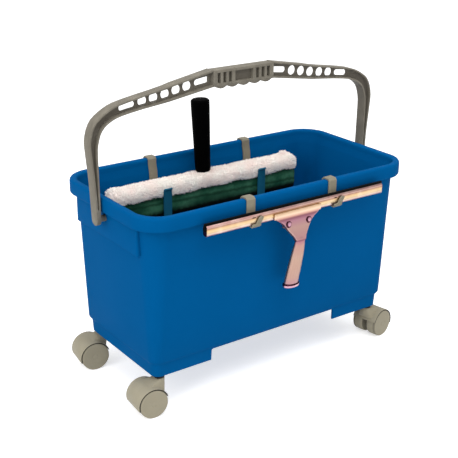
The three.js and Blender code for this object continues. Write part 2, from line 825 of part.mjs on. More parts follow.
function makeFrontHook(place) {
  const strap = drawnAlongX(stripOutline(frontHookPath(), strapThickness), strapWidth, place);
  const back = -(channelDepth / 2 + cradleGap);
  const low = -channelHeight / 2;
  const half = hookFingerWidth / 2;
  const finger = drawnAlongY([
    new THREE.Vector2(-half - hookFingerSlant / 2, low),
    new THREE.Vector2(half - hookFingerSlant / 2, low),
    new THREE.Vector2(half + hookFingerSlant / 2, low + hookFingerRise),
    new THREE.Vector2(hookFingerSlant / 2, low + hookFingerRise + half / 2),
    new THREE.Vector2(-half + hookFingerSlant / 2, low + hookFingerRise),
  ], back - strapThickness, back);
  const seat = [place + hookFingerOffset, channelY, squeegeeHeight];
  return strap.add(finger.rotate([squeegeeLean, 0, 0]).translate(seat));
}

// Squeegee, in its own frame: the channel's middle is its origin, the blade points up.
function channelOutline() {
  const half = channelDepth / 2;
  const low = -channelHeight / 2;
  const high = channelHeight / 2;
  const slot = channelSlot / 2;
  const room = half - channelWall;
  const floor = low + channelHeight / 2;
  return [
    new THREE.Vector2(-half + channelEdge, low),
    new THREE.Vector2(half - channelEdge, low),
    new THREE.Vector2(half, low + channelEdge),
    new THREE.Vector2(half, high - channelEdge),
    new THREE.Vector2(half - channelEdge, high),
    new THREE.Vector2(slot, high),
    new THREE.Vector2(slot, high - channelWall),
    new THREE.Vector2(room, high - channelWall),
    new THREE.Vector2(room, floor),
    new THREE.Vector2(-room, floor),
    new THREE.Vector2(-room, high - channelWall),
    new THREE.Vector2(-slot, high - channelWall),
    new THREE.Vector2(-slot, high),
    new THREE.Vector2(-half + channelEdge, high),
    new THREE.Vector2(-half, high - channelEdge),
    new THREE.Vector2(-half, low + channelEdge),
  ];
}

function rubberOutline() {
  const room = channelDepth / 2 - channelWall - seatGap;
  const neck = channelSlot / 2 - seatGap;
  const floor = seatGap;
  const ceiling = channelHeight / 2 - channelWall - seatGap;
  const tip = channelHeight / 2 + rubberProud;
  return [
    new THREE.Vector2(-room, floor),
    new THREE.Vector2(room, floor),
    new THREE.Vector2(room, ceiling),
    new THREE.Vector2(neck, ceiling),
    new THREE.Vector2(neck, tip),
    new THREE.Vector2(-neck, tip),
    new THREE.Vector2(-neck, ceiling),
    new THREE.Vector2(-room, ceiling),
  ];
}

// Front view of the jaw and its triangle down to the neck, with hollow sides.
function jawOutline(top) {
  const side = new THREE.QuadraticBezierCurve(
    new THREE.Vector2(jawHalfWidth, -jawDrop),
    new THREE.Vector2(neckHalfWidth + jawDrop, -(neckDrop / 2 - jawDrop)),
    new THREE.Vector2(neckHalfWidth, -neckDrop)).getPoints(jawSteps);
  const right = top < 0 ? side.filter((point) => point.y < top) : side;
  const edge = top < 0 ? right[0].x + jawDrop / 2 : jawHalfWidth;
  const half = [new THREE.Vector2(edge, top), ...right];
  const mirrored = half.map((point) => new THREE.Vector2(-point.x, point.y)).reverse();
  return [...half, ...mirrored];
}

// Below the jaw the plate tilts forward about the jaw's lower edge.
function tiltPoint(y, z) {
  const hinge = new THREE.Vector2(-(channelDepth / 2 + seatGap), -jawDrop);
  return new THREE.Vector2(y, z).rotateAround(hinge, -THREE.MathUtils.degToRad(plateTilt));
}

function tilted(solid) {
  const hinge = -(channelDepth / 2 + seatGap);
  return solid.translate([0, -hinge, jawDrop]).rotate([-plateTilt, 0, 0]).translate([0, hinge, -jawDrop]);
}

function screwHoles() {
  const left = tilted(rodAlongY(screwRadius + seatGap, -2 * channelDepth, 2 * channelDepth)
    .translate([-screwSpacing / 2, 0, -screwDrop]));
  return left.add(left.translate([screwSpacing, 0, 0]));
}

function makeSqueegeeHandle() {
  const back = -(channelDepth / 2 + seatGap);
  const front = back - jawThickness;
  const below = -(channelHeight / 2 + seatGap) - jawDrop / 2;
  const plate = drawnAlongY(jawOutline(-jawDrop), front, back);
  const thick = drawnAlongY(jawOutline(below), front, front + plateThickness);
  let handle = drawnAlongY(jawOutline(jawRise), front, back).intersect(box(
    new THREE.Vector3(-channelLength, -channelLength, -jawDrop),
    new THREE.Vector3(channelLength, channelLength, channelHeight)));
  handle = handle.add(tilted(plate.add(thick)));
  const ring = (halfWidth, halfDepth, centre) => {
    const points = [];
    for (let step = 0; step < smallSteps; step += 1) {
      const angle = 2 * Math.PI * (step + 0.5) / smallSteps;
      points.push(new THREE.Vector3(
        halfWidth * Math.cos(angle), centre.x + halfDepth * Math.sin(angle), centre.y));
    }
    return points;
  };
  const neck = tiltPoint(front + plateThickness / 2, -neckDrop);
  const end = new THREE.Vector2(0, -handleDrop);
  const rise = tiltPoint(front + plateThickness / 2, -neckDrop + overrun);
  handle = handle.add(loft([
    ...handleShares.map(([upShare, wideShare, deepShare]) => ring(
      handleHalfWidth * wideShare, handleHalfDepth * deepShare, end.clone().lerp(neck, upShare))),
    ring(neckHalfWidth, neckHalfDepth, neck),
    ring(neckHalfWidth, neckHalfDepth, rise),
  ]));
  handle = handle.subtract(screwHoles());
  return handle.subtract(rodAlongZ(capSpigotRadius + seatGap, -handleDrop - overrun,
    -handleDrop + capSpigot + seatGap));
}

// Bent plate behind the channel that the screws pull tight.
function makeClampPlate() {
  const back = channelDepth / 2 + seatGap + clampThickness / 2;
  const low = -(channelDepth / 2 + seatGap + jawThickness) + plateThickness + seatGap + clampThickness / 2;
  const below = -(channelHeight / 2 + seatGap);
  const path = [
    new THREE.Vector2(back, jawRise),
    new THREE.Vector2(back, below),
    tiltPoint(low, below - 2 * clampThickness),
    tiltPoint(low, -clampDrop),
  ];
  const plate = drawnAlongX(stripOutline(path, clampThickness), 2 * clampHalfWidth, 0);
  return plate.subtract(screwHoles());
}

function makeScrew() {
  const face = -(channelDepth / 2 + seatGap + jawThickness);
  const head = face - seatGap;
  const end = face + plateThickness + seatGap + clampThickness;
  const shank = rodAlongY(screwRadius, head - screwHeadHeight / 2, end);
  return shank.add(rodAlongY(screwHeadRadius, head - screwHeadHeight, head));
}

function makeHandleCap() {
  const top = -handleDrop - seatGap;
  const geometry = new THREE.CylinderGeometry(1, 1, capThickness, smallSteps);
  geometry.rotateX(rightAngle);
  geometry.scale(handleHalfWidth + capProud, handleHalfDepth + capProud, 1);
  geometry.translate(0, 0, top - capThickness / 2);
  return solidFrom(geometry).add(rodAlongZ(capSpigotRadius, top - capThickness / 2, top + capSpigot));
}

function makeSqueegee() {
  const squeegee = new THREE.Group();
  squeegee.position.set(squeegeeCentre, channelY, squeegeeHeight);
  squeegee.rotation.x = THREE.MathUtils.degToRad(squeegeeLean);
  const handle = new THREE.Group();
  handle.position.x = handleOffset;
  squeegee.add(handle);
  const channel = drawnAlongX(channelOutline(), channelLength, 0);
  squeegee.add(meshOf('squeegee_channel', channel, brassFinish));
  const rubber = drawnAlongX(rubberOutline(), channelLength + 2 * rubberOverhang, 0);
  squeegee.add(meshOf('squeegee_rubber', rubber, rubberFinish));
  handle.add(meshOf('squeegee_handle', makeSqueegeeHandle(), copperFinish));
  handle.add(meshOf('squeegee_clamp_plate', makeClampPlate(), copperFinish));
  for (const [name, side] of [['left', -1], ['right', 1]]) {
    const screw = meshOf(`squeegee_screw_${name}`, makeScrew(), copperFinish);
    const seat = tiltPoint(0, -screwDrop);
    screw.position.set(side * screwSpacing / 2, seat.x, seat.y);
    screw.rotation.x = -THREE.MathUtils.degToRad(plateTilt);
    handle.add(screw);
  }
  handle.add(meshOf('squeegee_handle_cap', makeHandleCap(), copperFinish));
  return squeegee;
}

// Washer: a bar with a grip, inside a sleeve of fleece above and scrub cloth below.
function washerMiddle() {
  return wallHalfWidth(rearHolderBottom) - tubWall - seatGap - strapThickness - rearHolderGap / 2;
}

// Sleeve section along its length: half thickness and half height, drawn in at both ends.
const sleeveShares = [
  [0, 0.3, 0.4], [0.008, 0.62, 0.66], [0.025, 0.82, 0.85], [0.06, 0.95, 0.96], [0.14, 1, 1],
  [0.3, 0.97, 0.985], [0.5, 1, 1], [0.7, 0.97, 0.985], [0.86, 1, 1], [0.94, 0.95, 0.96],
  [0.975, 0.82, 0.85], [0.992, 0.62, 0.66], [1, 0.3, 0.4],
];

function makeSleeve() {
  const bottom = rearHolderBottom + strapThickness / 2 + washerSeat;
  const middle = (washerTop + bottom) / 2;
  const halfHeight = (washerTop - bottom) / 2;
  const halfThickness = rearHolderGap / 2 - 2 * seatGap;
  const rings = sleeveShares.map(([alongShare, thickShare, highShare]) => {
    const ring = [];
    for (let step = 0; step < sleeveRingSteps; step += 1) {
      const angle = 2 * Math.PI * step / sleeveRingSteps;
      const across = Math.sign(Math.cos(angle)) * Math.sqrt(Math.abs(Math.cos(angle)));
      ring.push(new THREE.Vector3(
        washerCentre + (alongShare - 0.5) * washerLength,
        washerMiddle() + thickShare * halfThickness * across,
        middle + highShare * halfHeight * Math.sin(angle)));
    }
    return ring;
  });
  return loft(rings);
}

function barBox(margin) {
  const top = washerTop - barDrop;
  return box(
    new THREE.Vector3(washerCentre - barLength / 2 - margin, washerMiddle() - barDepth / 2 - margin,
      top - barHeight - margin),
    new THREE.Vector3(washerCentre + barLength / 2 + margin, washerMiddle() + barDepth / 2 + margin,
      top + margin));
}

function makeWasher() {
  const washer = new THREE.Group();
  const neckLow = washerTop - barDrop - barHeight / 2;
  const neckTop = washerTop + washerNeckRise;
  const atGrip = (solid) => solid.translate([washerGripCentre, washerMiddle(), 0]);
  const bar = barBox(0).add(atGrip(rodAlongZ(neckRadius, washerTop - barDrop - seatGap, neckTop)));
  const room = barBox(seatGap).add(atGrip(rodAlongZ(neckRadius + seatGap, neckLow, neckTop)));
  const sleeve = makeSleeve().subtract(room);
  const wide = new THREE.Vector3(washerLength, rimWidth, 0);
  const above = box(
    new THREE.Vector3(-wide.x, -wide.y, washerSplit + seatGap / 2),
    new THREE.Vector3(wide.x, wide.y, washerTop + overrun));
  const below = box(
    new THREE.Vector3(-wide.x, -wide.y, 0),
    new THREE.Vector3(wide.x, wide.y, washerSplit - seatGap / 2));
  washer.add(meshOf('washer_bar', bar, blackFinish));
  washer.add(meshOf('washer_fleece', sleeve.intersect(above), fleeceFinish));
  washer.add(meshOf('washer_scrub_cloth', sleeve.intersect(below), scrubFinish));
  const gripBottom = washerTop + seatGap;
  const profile = [
    [0, neckTop + seatGap],
    [neckRadius + seatGap, neckTop + seatGap],
    [neckRadius + seatGap, gripBottom],
    [washerGripLowRadius - washerGripRound, gripBottom],
    [washerGripLowRadius, gripBottom + washerGripRound],
    ...washerGripShares.map(([upShare, wideShare]) => [
      THREE.MathUtils.lerp(washerGripLowRadius, washerGripTopRadius, wideShare),
      THREE.MathUtils.lerp(gripBottom, washerGripTop, upShare)]),
    [washerGripTopRadius, washerGripTop - washerGripRound],
    [washerGripTopRadius - washerGripRound, washerGripTop],
    [0, washerGripTop],
  ];
  const points = profile.map(([radius, height]) => new THREE.Vector2(radius, height));
  const grip = solidFrom(new THREE.LatheGeometry(points, roundSteps).rotateX(rightAngle));
  washer.add(meshOf('washer_grip', atGrip(grip), blackFinish));
  return washer;
}

const bucket = new THREE.Group();
bucket.add(meshOf('tub', makeTub(), tubFinish));
bucket.add(meshOf('bail_handle', makeBail(), bailFinish));
for (const [name, angle] of Object.entries(casterAngles)) {
  bucket.add(makeCaster(name, angle));
  const sleeve = meshOf(`caster_socket_${name}`, makeSocketSleeve(), sleeveFinish);
  sleeve.position.set(
    name.endsWith('left') ? -casterX : casterX,
    name.startsWith('front') ? -casterY : casterY,
    0);
  bucket.add(sleeve);
}
for (const [name, place] of Object.entries(rearHolderPlaces)) {
  bucket.add(meshOf(`rear_holder_${name}`, makeRearHolder(place), holderFinish));
}
for (const [name, place] of Object.entries(frontHookPlaces)) {
  bucket.add(meshOf(`front_hook_${name}`, makeFrontHook(place), hookFinish));
}
bucket.add(makeSqueegee());
bucket.add(makeWasher());

// The origin is on the floor, under the middle of the whole part.
bucket.updateMatrixWorld(true);
const reach = new THREE.Box3().setFromObject(bucket, true);
bucket.position.y = -(reach.min.y + reach.max.y) / 2;

export default bucket;
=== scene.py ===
# %% [markdown]
# # A wheeled window cleaning bucket
#
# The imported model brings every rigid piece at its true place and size. This lesson dresses it:
# the tub, wheels and soft sleeve are modelled again with smooth curves, the smaller mouldings get
# rounded edges, and each finish is a procedural material. All lengths are metres, +X runs along the tub.

import json
import math
import random

import bmesh
import bpy
from mathutils import Matrix, Vector, noise


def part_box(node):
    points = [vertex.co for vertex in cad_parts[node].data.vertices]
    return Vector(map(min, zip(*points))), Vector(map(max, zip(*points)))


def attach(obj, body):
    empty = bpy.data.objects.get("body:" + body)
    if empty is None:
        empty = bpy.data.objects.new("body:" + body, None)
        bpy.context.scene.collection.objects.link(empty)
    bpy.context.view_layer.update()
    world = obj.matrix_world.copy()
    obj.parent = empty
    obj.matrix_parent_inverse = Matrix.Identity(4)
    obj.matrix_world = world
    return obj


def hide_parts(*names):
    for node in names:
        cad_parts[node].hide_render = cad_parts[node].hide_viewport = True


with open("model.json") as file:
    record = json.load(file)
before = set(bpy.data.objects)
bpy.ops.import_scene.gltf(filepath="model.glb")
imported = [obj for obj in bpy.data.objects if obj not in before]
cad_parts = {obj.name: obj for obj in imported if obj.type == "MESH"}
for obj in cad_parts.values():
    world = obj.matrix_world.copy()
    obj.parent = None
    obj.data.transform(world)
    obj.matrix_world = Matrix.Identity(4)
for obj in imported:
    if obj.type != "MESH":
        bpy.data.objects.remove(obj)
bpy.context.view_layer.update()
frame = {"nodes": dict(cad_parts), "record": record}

# %% [markdown]
# ## Seeing it as the photograph does
#
# The camera comes first, so that every later choice is judged through it. Its place was solved from
# the corners of the tub: it looks down 21 degrees from the front left, through a long lens.

# %% Camera
MM = 0.001
tub_low, tub_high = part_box("tub")
TUB_Y = (tub_low.y + tub_high.y) / 2

bpy.ops.object.camera_add()
camera = bpy.context.object
camera.name = "studio_camera"
back = Vector((-0.5451, -0.7551, 0.3642)).normalized()
level = Vector((0.8108, -0.5853, 0.0)).normalized()
roll = math.radians(0.514)
across = math.cos(roll) * level + math.sin(roll) * back.cross(level)
upward = back.cross(across)
camera.matrix_world = Matrix((
    (across.x, upward.x, back.x, -0.8992),
    (across.y, upward.y, back.y, -1.2183 + TUB_Y),
    (across.z, upward.z, back.z, 0.8112),
    (0, 0, 0, 1)))
camera.data.sensor_width = 36
camera.data.lens = 77.6
bpy.context.scene.camera = camera
print("camera at", [round(c, 3) for c in camera.matrix_world.translation])

# %% [markdown]
# ## A white studio
#
# The bucket stands in a white studio. The world is plain white to the camera and in reflections, and
# only a moderate fill to everything else, so colours render about as written. The floor glows white in
# the same way and keeps a soft shadow.

# %% World
bpy.context.scene.view_settings.view_transform = "Standard"
world = bpy.data.worlds.new("white_studio")
bpy.context.scene.world = world
world.use_nodes = True
sky = world.node_tree
sky.nodes.clear()
FILL_LIGHT, PLAIN_WHITE = 0.7, (1, 1, 1, 1)


def math_node(tree, operation, a, b, clamp=False):
    """A Math node fed by sockets or plain numbers; returns its output."""
    node = tree.nodes.new("ShaderNodeMath")
    node.operation = operation
    node.use_clamp = clamp
    for slot, source in zip(node.inputs, (a, b)):
        if isinstance(source, (int, float)):
            slot.default_value = source
        else:
            tree.links.new(source, slot)
    return node.outputs[0]


def rays_seen(tree):
    """1 for camera, glossy and transmission rays, 0 for the rays that light surfaces."""
    path = tree.nodes.new("ShaderNodeLightPath")
    seen = path.outputs["Is Camera Ray"]
    for name in ("Is Glossy Ray", "Is Transmission Ray"):
        seen = math_node(tree, "MAXIMUM", seen, path.outputs[name])
    return seen


def background(strength):
    """Plain white at a strength."""
    node = sky.nodes.new("ShaderNodeBackground")
    node.inputs["Color"].default_value = PLAIN_WHITE
    node.inputs["Strength"].default_value = strength
    return node.outputs[0]


choice = sky.nodes.new("ShaderNodeMixShader")
for slot, source in zip(choice.inputs, (rays_seen(sky), background(FILL_LIGHT), background(1))):
    sky.links.new(source, slot)
sky_out = sky.nodes.new("ShaderNodeOutputWorld")
sky.links.new(choice.outputs[0], sky_out.inputs["Surface"])
print("fill light", FILL_LIGHT)

# %% Lamps


def soft_lamp(name, place, aim, size, power):
    """A square area lamp at a place, turned to its aim."""
    bpy.ops.object.light_add(type="AREA", location=place)
    lamp = bpy.context.object
    lamp.name = name
    lamp.data.size = size
    lamp.data.energy = power
    lamp.rotation_euler = (Vector(aim) - Vector(place)).to_track_quat("-Z", "Y").to_euler()
    return lamp


bucket_middle = (0, TUB_Y, 0.22)
soft_lamp("left_window", (-2.1, -0.4, 1.4), bucket_middle, 1.4, 19)
soft_lamp("overhead_softbox", (0.1, -0.5, 2.3), bucket_middle, 1.8, 21)
soft_lamp("upper_card", (-0.6, -1.4, 2.2), (0.12, TUB_Y + 0.1, 0.2), 1.2, 12)
print("lamps", len(bpy.data.lights))

# %% Floor
FLOOR_GLOW = 0.55
bpy.ops.mesh.primitive_plane_add(size=12, location=(0, 0, 0))
floor = bpy.context.object
floor.name = "studio_floor"
floor_material = bpy.data.materials.new("white_floor")
floor_material.use_nodes = True
tree = floor_material.node_tree
tree.nodes.clear()
matte = tree.nodes.new("ShaderNodeBsdfDiffuse")
matte.inputs["Color"].default_value = (0.9, 0.9, 0.9, 1)
glow = tree.nodes.new("ShaderNodeEmission")
glow.inputs["Color"].default_value = PLAIN_WHITE
tree.links.new(math_node(tree, "MULTIPLY", rays_seen(tree), FLOOR_GLOW), glow.inputs["Strength"])
both = tree.nodes.new("ShaderNodeAddShader")
tree.links.new(matte.outputs[0], both.inputs[0])
tree.links.new(glow.outputs[0], both.inputs[1])
floor_out = tree.nodes.new("ShaderNodeOutputMaterial")
tree.links.new(both.outputs[0], floor_out.inputs["Surface"])
floor.data.materials.append(floor_material)

# %% [markdown]
# ## Shared surface effects
#
# Plastic and metal share a few effects: a fine moulded grain, slow tone drift, pale edges (rubbed
# wear, and on metal also a painted highlight), and a film of dust low down. They could be painted as
# images, but nodes stay sharp at any distance. Each is a node group, so every material sets its own amounts.

# %% Node helpers


def effect_group(name, inputs, outputs):
    """An empty shader node group with named value sockets; returns the group and its two ends."""
    group = bpy.data.node_groups.new(name, "ShaderNodeTree")
    for socket, default in inputs.items():
        made = group.interface.new_socket(socket, in_out="INPUT", socket_type="NodeSocketFloat")
        made.default_value = default
    for socket in outputs:
        group.interface.new_socket(socket, in_out="OUTPUT", socket_type="NodeSocketFloat")
    return group, group.nodes.new("NodeGroupInput"), group.nodes.new("NodeGroupOutput")


def mixed_color(tree, share, first, second):
    """Two colours mixed by a share; each may be a socket or an RGBA value."""
    node = tree.nodes.new("ShaderNodeMix")
    node.data_type = "RGBA"
    for slot, source in ((node.inputs["Factor"], share), (node.inputs[6], first), (node.inputs[7], second)):
        if hasattr(source, "is_output"):
            tree.links.new(source, slot)
        else:
            slot.default_value = source
    return node.outputs[2]


def object_place(tree):
    """The X, Y and Z of a point in its piece's Object coordinates."""
    split = tree.nodes.new("ShaderNodeSeparateXYZ")
    tree.links.new(tree.nodes.new("ShaderNodeTexCoord").outputs["Object"], split.inputs[0])
    return split.outputs


def noise_value(tree, scale, detail=3, stretch=(1, 1, 1), roughness=0.5):
    """Noise on Object coordinates, drawn out by a stretch along each axis."""
    place = tree.nodes.new("ShaderNodeTexCoord")
    mapping = tree.nodes.new("ShaderNodeMapping")
    mapping.inputs["Scale"].default_value = stretch
    tree.links.new(place.outputs["Object"], mapping.inputs["Vector"])
    node = tree.nodes.new("ShaderNodeTexNoise")
    node.inputs["Detail"].default_value = detail
    node.inputs["Roughness"].default_value = roughness
    if isinstance(scale, (int, float)):
        node.inputs["Scale"].default_value = scale
    else:
        tree.links.new(scale, node.inputs["Scale"])
    tree.links.new(mapping.outputs[0], node.inputs["Vector"])
    return node.outputs[0]


def ramp(tree, source, low, high):
    """0 below low, 1 above high, straight between."""
    node = tree.nodes.new("ShaderNodeMapRange")
    node.clamp = True
    node.inputs["From Min"].default_value = low
    node.inputs["From Max"].default_value = high
    tree.links.new(source, node.inputs["Value"])
    return node.outputs[0]


# %% Moulded grain: fine pebble height and slow tone drift
grain_group, start, end = effect_group("moulded_grain", {"Grain Scale": 900.0}, ("Height", "Tone"))
tree = grain_group
pebble = noise_value(tree, start.outputs["Grain Scale"], detail=2)
orange_peel = noise_value(tree, 90.0, detail=2)
height = math_node(tree, "ADD", math_node(tree, "MULTIPLY", pebble, 0.35), orange_peel)
tree.links.new(height, end.inputs["Height"])
drift = noise_value(tree, 7.0, detail=4)
tree.links.new(ramp(tree, drift, 0.3, 0.7), end.inputs["Tone"])

# %% Edge wear: pale rubbed edges broken up by noise; on metal the pale edges are also a painted highlight
edge_wear_and_highlight_group, start, end = effect_group("edge_wear_and_highlight", {"Breakup Scale": 60.0, "Reach": 0.06}, ("Mask",))
tree = edge_wear_and_highlight_group
curvature = tree.nodes.new("ShaderNodeNewGeometry").outputs["Pointiness"]
edge = math_node(tree, "SUBTRACT", curvature, 0.5)
edge = math_node(tree, "DIVIDE", edge, start.outputs["Reach"], clamp=True)
broken = ramp(tree, noise_value(tree, start.outputs["Breakup Scale"], detail=6), 0.42, 0.68)
tree.links.new(math_node(tree, "MULTIPLY", edge, broken, clamp=True), end.inputs["Mask"])

# %% Scuffs: thin scratches that run mostly along the tub
scuff_group, start, end = effect_group("scuffs", {"Amount": 0.5}, ("Mask",))
tree = scuff_group
long_marks = noise_value(tree, 160.0, detail=6, stretch=(0.12, 1, 1), roughness=0.7)
cross_marks = noise_value(tree, 140.0, detail=6, stretch=(1, 1, 0.1), roughness=0.7)
marks = math_node(tree, "MAXIMUM", ramp(tree, long_marks, 0.66, 0.74), ramp(tree, cross_marks, 0.68, 0.76))
patches = ramp(tree, noise_value(tree, 9.0, detail=3), 0.45, 0.65)
shown = math_node(tree, "MULTIPLY", marks, patches)
shown = math_node(tree, "MULTIPLY", shown, start.outputs["Amount"], clamp=True)
tree.links.new(shown, end.inputs["Mask"])

# %% Dust film: more of it low down and on faces that look up
dust_group, start, end = effect_group("dust_film", {"Height Limit": 0.1, "Amount": 0.5}, ("Mask",))
tree = dust_group
geometry = tree.nodes.new("ShaderNodeNewGeometry")
facing = tree.nodes.new("ShaderNodeSeparateXYZ")
tree.links.new(geometry.outputs["Normal"], facing.inputs[0])
low_down = math_node(tree, "DIVIDE", object_place(tree)["Z"], start.outputs["Height Limit"])
low_down = math_node(tree, "SUBTRACT", 1.0, low_down, clamp=True)
upward_faces = math_node(tree, "MULTIPLY", facing.outputs["Z"], 0.5, clamp=True)
settled = math_node(tree, "ADD", low_down, upward_faces, clamp=True)
speckle = ramp(tree, noise_value(tree, 220.0, detail=5), 0.4, 0.75)
settled = math_node(tree, "MULTIPLY", settled, speckle)
settled = math_node(tree, "MULTIPLY", settled, start.outputs["Amount"], clamp=True)
tree.links.new(settled, end.inputs["Mask"])
print("effects", [g.name for g in bpy.data.node_groups])

# %% [markdown]
# ## Moulded plastics
#
# The tub, handle, casters, hooks and holders are all injection moulded. One builder makes them, from
# a base colour, how glossy the mould was, and how much the piece has been rubbed and dusted.

# %% Plastic builder


def placed_group(tree, group, **values):
    """A shader node group placed in a material with its own values."""
    node = tree.nodes.new("ShaderNodeGroup")
    node.node_tree = group
    for name, value in values.items():
        node.inputs[name.replace("_", " ")].default_value = value
    return node


def srgb(hex_code):
    """A colour written as in a paint chart, as linear RGBA."""
    parts = [int(hex_code[i:i + 2], 16) / 255 for i in (0, 2, 4)]
    linear = [c / 12.92 if c <= 0.04045 else ((c + 0.055) / 1.055) ** 2.4 for c in parts]
    return (*linear, 1)


def with_painted_shade_and_dark_band(tree, color, painted_shade_and_dark_band):
    """A colour darkened where a piece's faces are marked: painted shade in recesses and gaps, and the end
    cap's dark band.
    """
    mark = tree.nodes.new("ShaderNodeAttribute")
    mark.attribute_name = "painted_shade_and_dark_band"
    return mixed_color(tree, mark.outputs["Fac"], color, srgb(painted_shade_and_dark_band))


def new_material(name):
    """A material with its node tree and its shader."""
    material = bpy.data.materials.new(name)
    material.use_nodes = True
    return material, material.node_tree, material.node_tree.nodes["Principled BSDF"]


def bumped(tree, shader, height, strength, depth):
    """Fine relief from a height, with a strength and a depth in metres."""
    bump = tree.nodes.new("ShaderNodeBump")
    bump.inputs["Strength"].default_value = strength
    bump.inputs["Distance"].default_value = depth
    tree.links.new(height, bump.inputs["Height"])
    tree.links.new(bump.outputs[0], shader.inputs["Normal"])


TONE_ROUGHNESS, RUBBED_ROUGHNESS, DUSTY_ROUGHNESS = 0.08, 0.25, 0.3
SCRATCH_DEPTH = 0.8
DUST_TINT = "b9b4aa"


def moulded_plastic(name, base, drifted, worn, gloss, wear, dust, grain=0.12, dust_limit=0.12,
                    specular=0.1, painted_shade_and_dark_band="1a1814"):
    """Injection moulded plastic with grain, tone drift, rubbed edges, scuffs, dust and painted shade on
    faces marked in recesses and gaps.
    """
    material, tree, shader = new_material(name)
    grains = placed_group(tree, grain_group)
    color = mixed_color(tree, grains.outputs["Tone"], srgb(base), srgb(drifted))
    edges = placed_group(tree, edge_wear_and_highlight_group).outputs["Mask"]
    scratches = placed_group(tree, scuff_group, Amount=wear).outputs["Mask"]
    rubbed = math_node(tree, "MAXIMUM", math_node(tree, "MULTIPLY", edges, wear), scratches)
    color = mixed_color(tree, rubbed, color, srgb(worn))
    film = placed_group(tree, dust_group, Height_Limit=dust_limit, Amount=dust).outputs["Mask"]
    color = with_painted_shade_and_dark_band(tree, mixed_color(tree, film, color, srgb(DUST_TINT)), painted_shade_and_dark_band)
    tree.links.new(color, shader.inputs["Base Color"])
    shader.inputs["Specular IOR Level"].default_value = specular
    rough = gloss
    for amount, added in ((grains.outputs["Tone"], TONE_ROUGHNESS), (rubbed, RUBBED_ROUGHNESS),
                          (film, DUSTY_ROUGHNESS)):
        rough = math_node(tree, "ADD", math_node(tree, "MULTIPLY", amount, added), rough, clamp=True)
    tree.links.new(rough, shader.inputs["Roughness"])
    cut = math_node(tree, "MULTIPLY", scratches, SCRATCH_DEPTH)
    bumped(tree, shader, math_node(tree, "SUBTRACT", grains.outputs["Height"], cut), grain, 0.6 * MM)
    return material


# %% The plastics of this bucket
tub_blue = moulded_plastic(
    "tub_blue_plastic", "00548e", "005189", "09609a", 0.5, wear=0.12, dust=0.01, specular=0.006)
bail_taupe = moulded_plastic(
    "bail_taupe_plastic", "746f65", "6d685d", "a29c8e", 0.5, wear=0.3, dust=0.03, painted_shade_and_dark_band="56514a")
caster_grey = moulded_plastic(
    "caster_warm_grey_plastic", "9c9581", "958e7a", "b0a996", 0.45, wear=0.25, dust=0.1, dust_limit=0.03,
    specular=0.15)
hook_taupe = moulded_plastic(
    "hook_taupe_plastic", "86806f", "7e7868", "aaa28f", 0.45, wear=0.4, dust=0.03, specular=0.15)
holder_teal = moulded_plastic(
    "holder_teal_plastic", "1a6480", "175a74", "3f8098", 0.42, wear=0.2, dust=0.03, specular=0.12)
socket_black = moulded_plastic(
    "socket_black_plastic", "101011", "161617", "2b2b2b", 0.5, wear=0.2, dust=0.1)
grip_black = moulded_plastic(
    "grip_black_plastic", "020202", "030303", "101010", 0.6, wear=0.2, dust=0.0, grain=0.3, specular=0.01)
print("plastics", len(bpy.data.materials))

# %% [markdown]
# ## Metals, rubber and cloth
#
# The channel and the handle are bare metal whose tint runs from gold on the shoulder to rose
# below. A tint ramp up each piece also holds painted highlight, reflection and shading bands, and is
# mixed with fine drawn lines and tarnish. The blade is plain rubber. Pile and scrub cloth are rough
# and fuzzy, so they get sheen and coarse relief.

# %% Drawn lines: fine streaks along the length of a drawn profile
drawn_group, start, end = effect_group("drawn_lines", {"Line Scale": 700.0}, ("Height", "Tone"))
tree = drawn_group
streaks = noise_value(tree, start.outputs["Line Scale"], detail=3, stretch=(0.01, 1, 1))
tree.links.new(streaks, end.inputs["Height"])
clouding = noise_value(tree, 24.0, detail=5, stretch=(0.25, 1, 1))
tree.links.new(ramp(tree, clouding, 0.35, 0.7), end.inputs["Tone"])


def tint_and_light_ramp(tree, low, high, tints_and_light):
    """Tints set at shares of the way from a low to a high place on the Z axis; painted highlight, reflection
    and shading bands are among them.
    """
    node = tree.nodes.new("ShaderNodeValToRGB")
    tree.links.new(ramp(tree, object_place(tree)["Z"], low, high), node.inputs[0])
    stops = node.color_ramp.elements
    while len(stops) < len(tints_and_light):
        stops.new(0.5)
    for stop, (share, tint) in zip(stops, tints_and_light):
        stop.position = share
        stop.color = srgb(tint)
    return node.outputs[0]


METAL_ROUGHNESS_DRIFT = 0.06
TINTED_TARNISH = 0.15
# pale metal edges: partly rubbed wear, partly a painted highlight
METAL_EDGE_WEAR_AND_HIGHLIGHT, METAL_EDGE_WEAR_AND_HIGHLIGHT_SHARE, METAL_EDGE_REACH = "ffeedd", 0.25, 0.05
METAL_PAINTED_SHADE_AND_BAND = "4a2233"


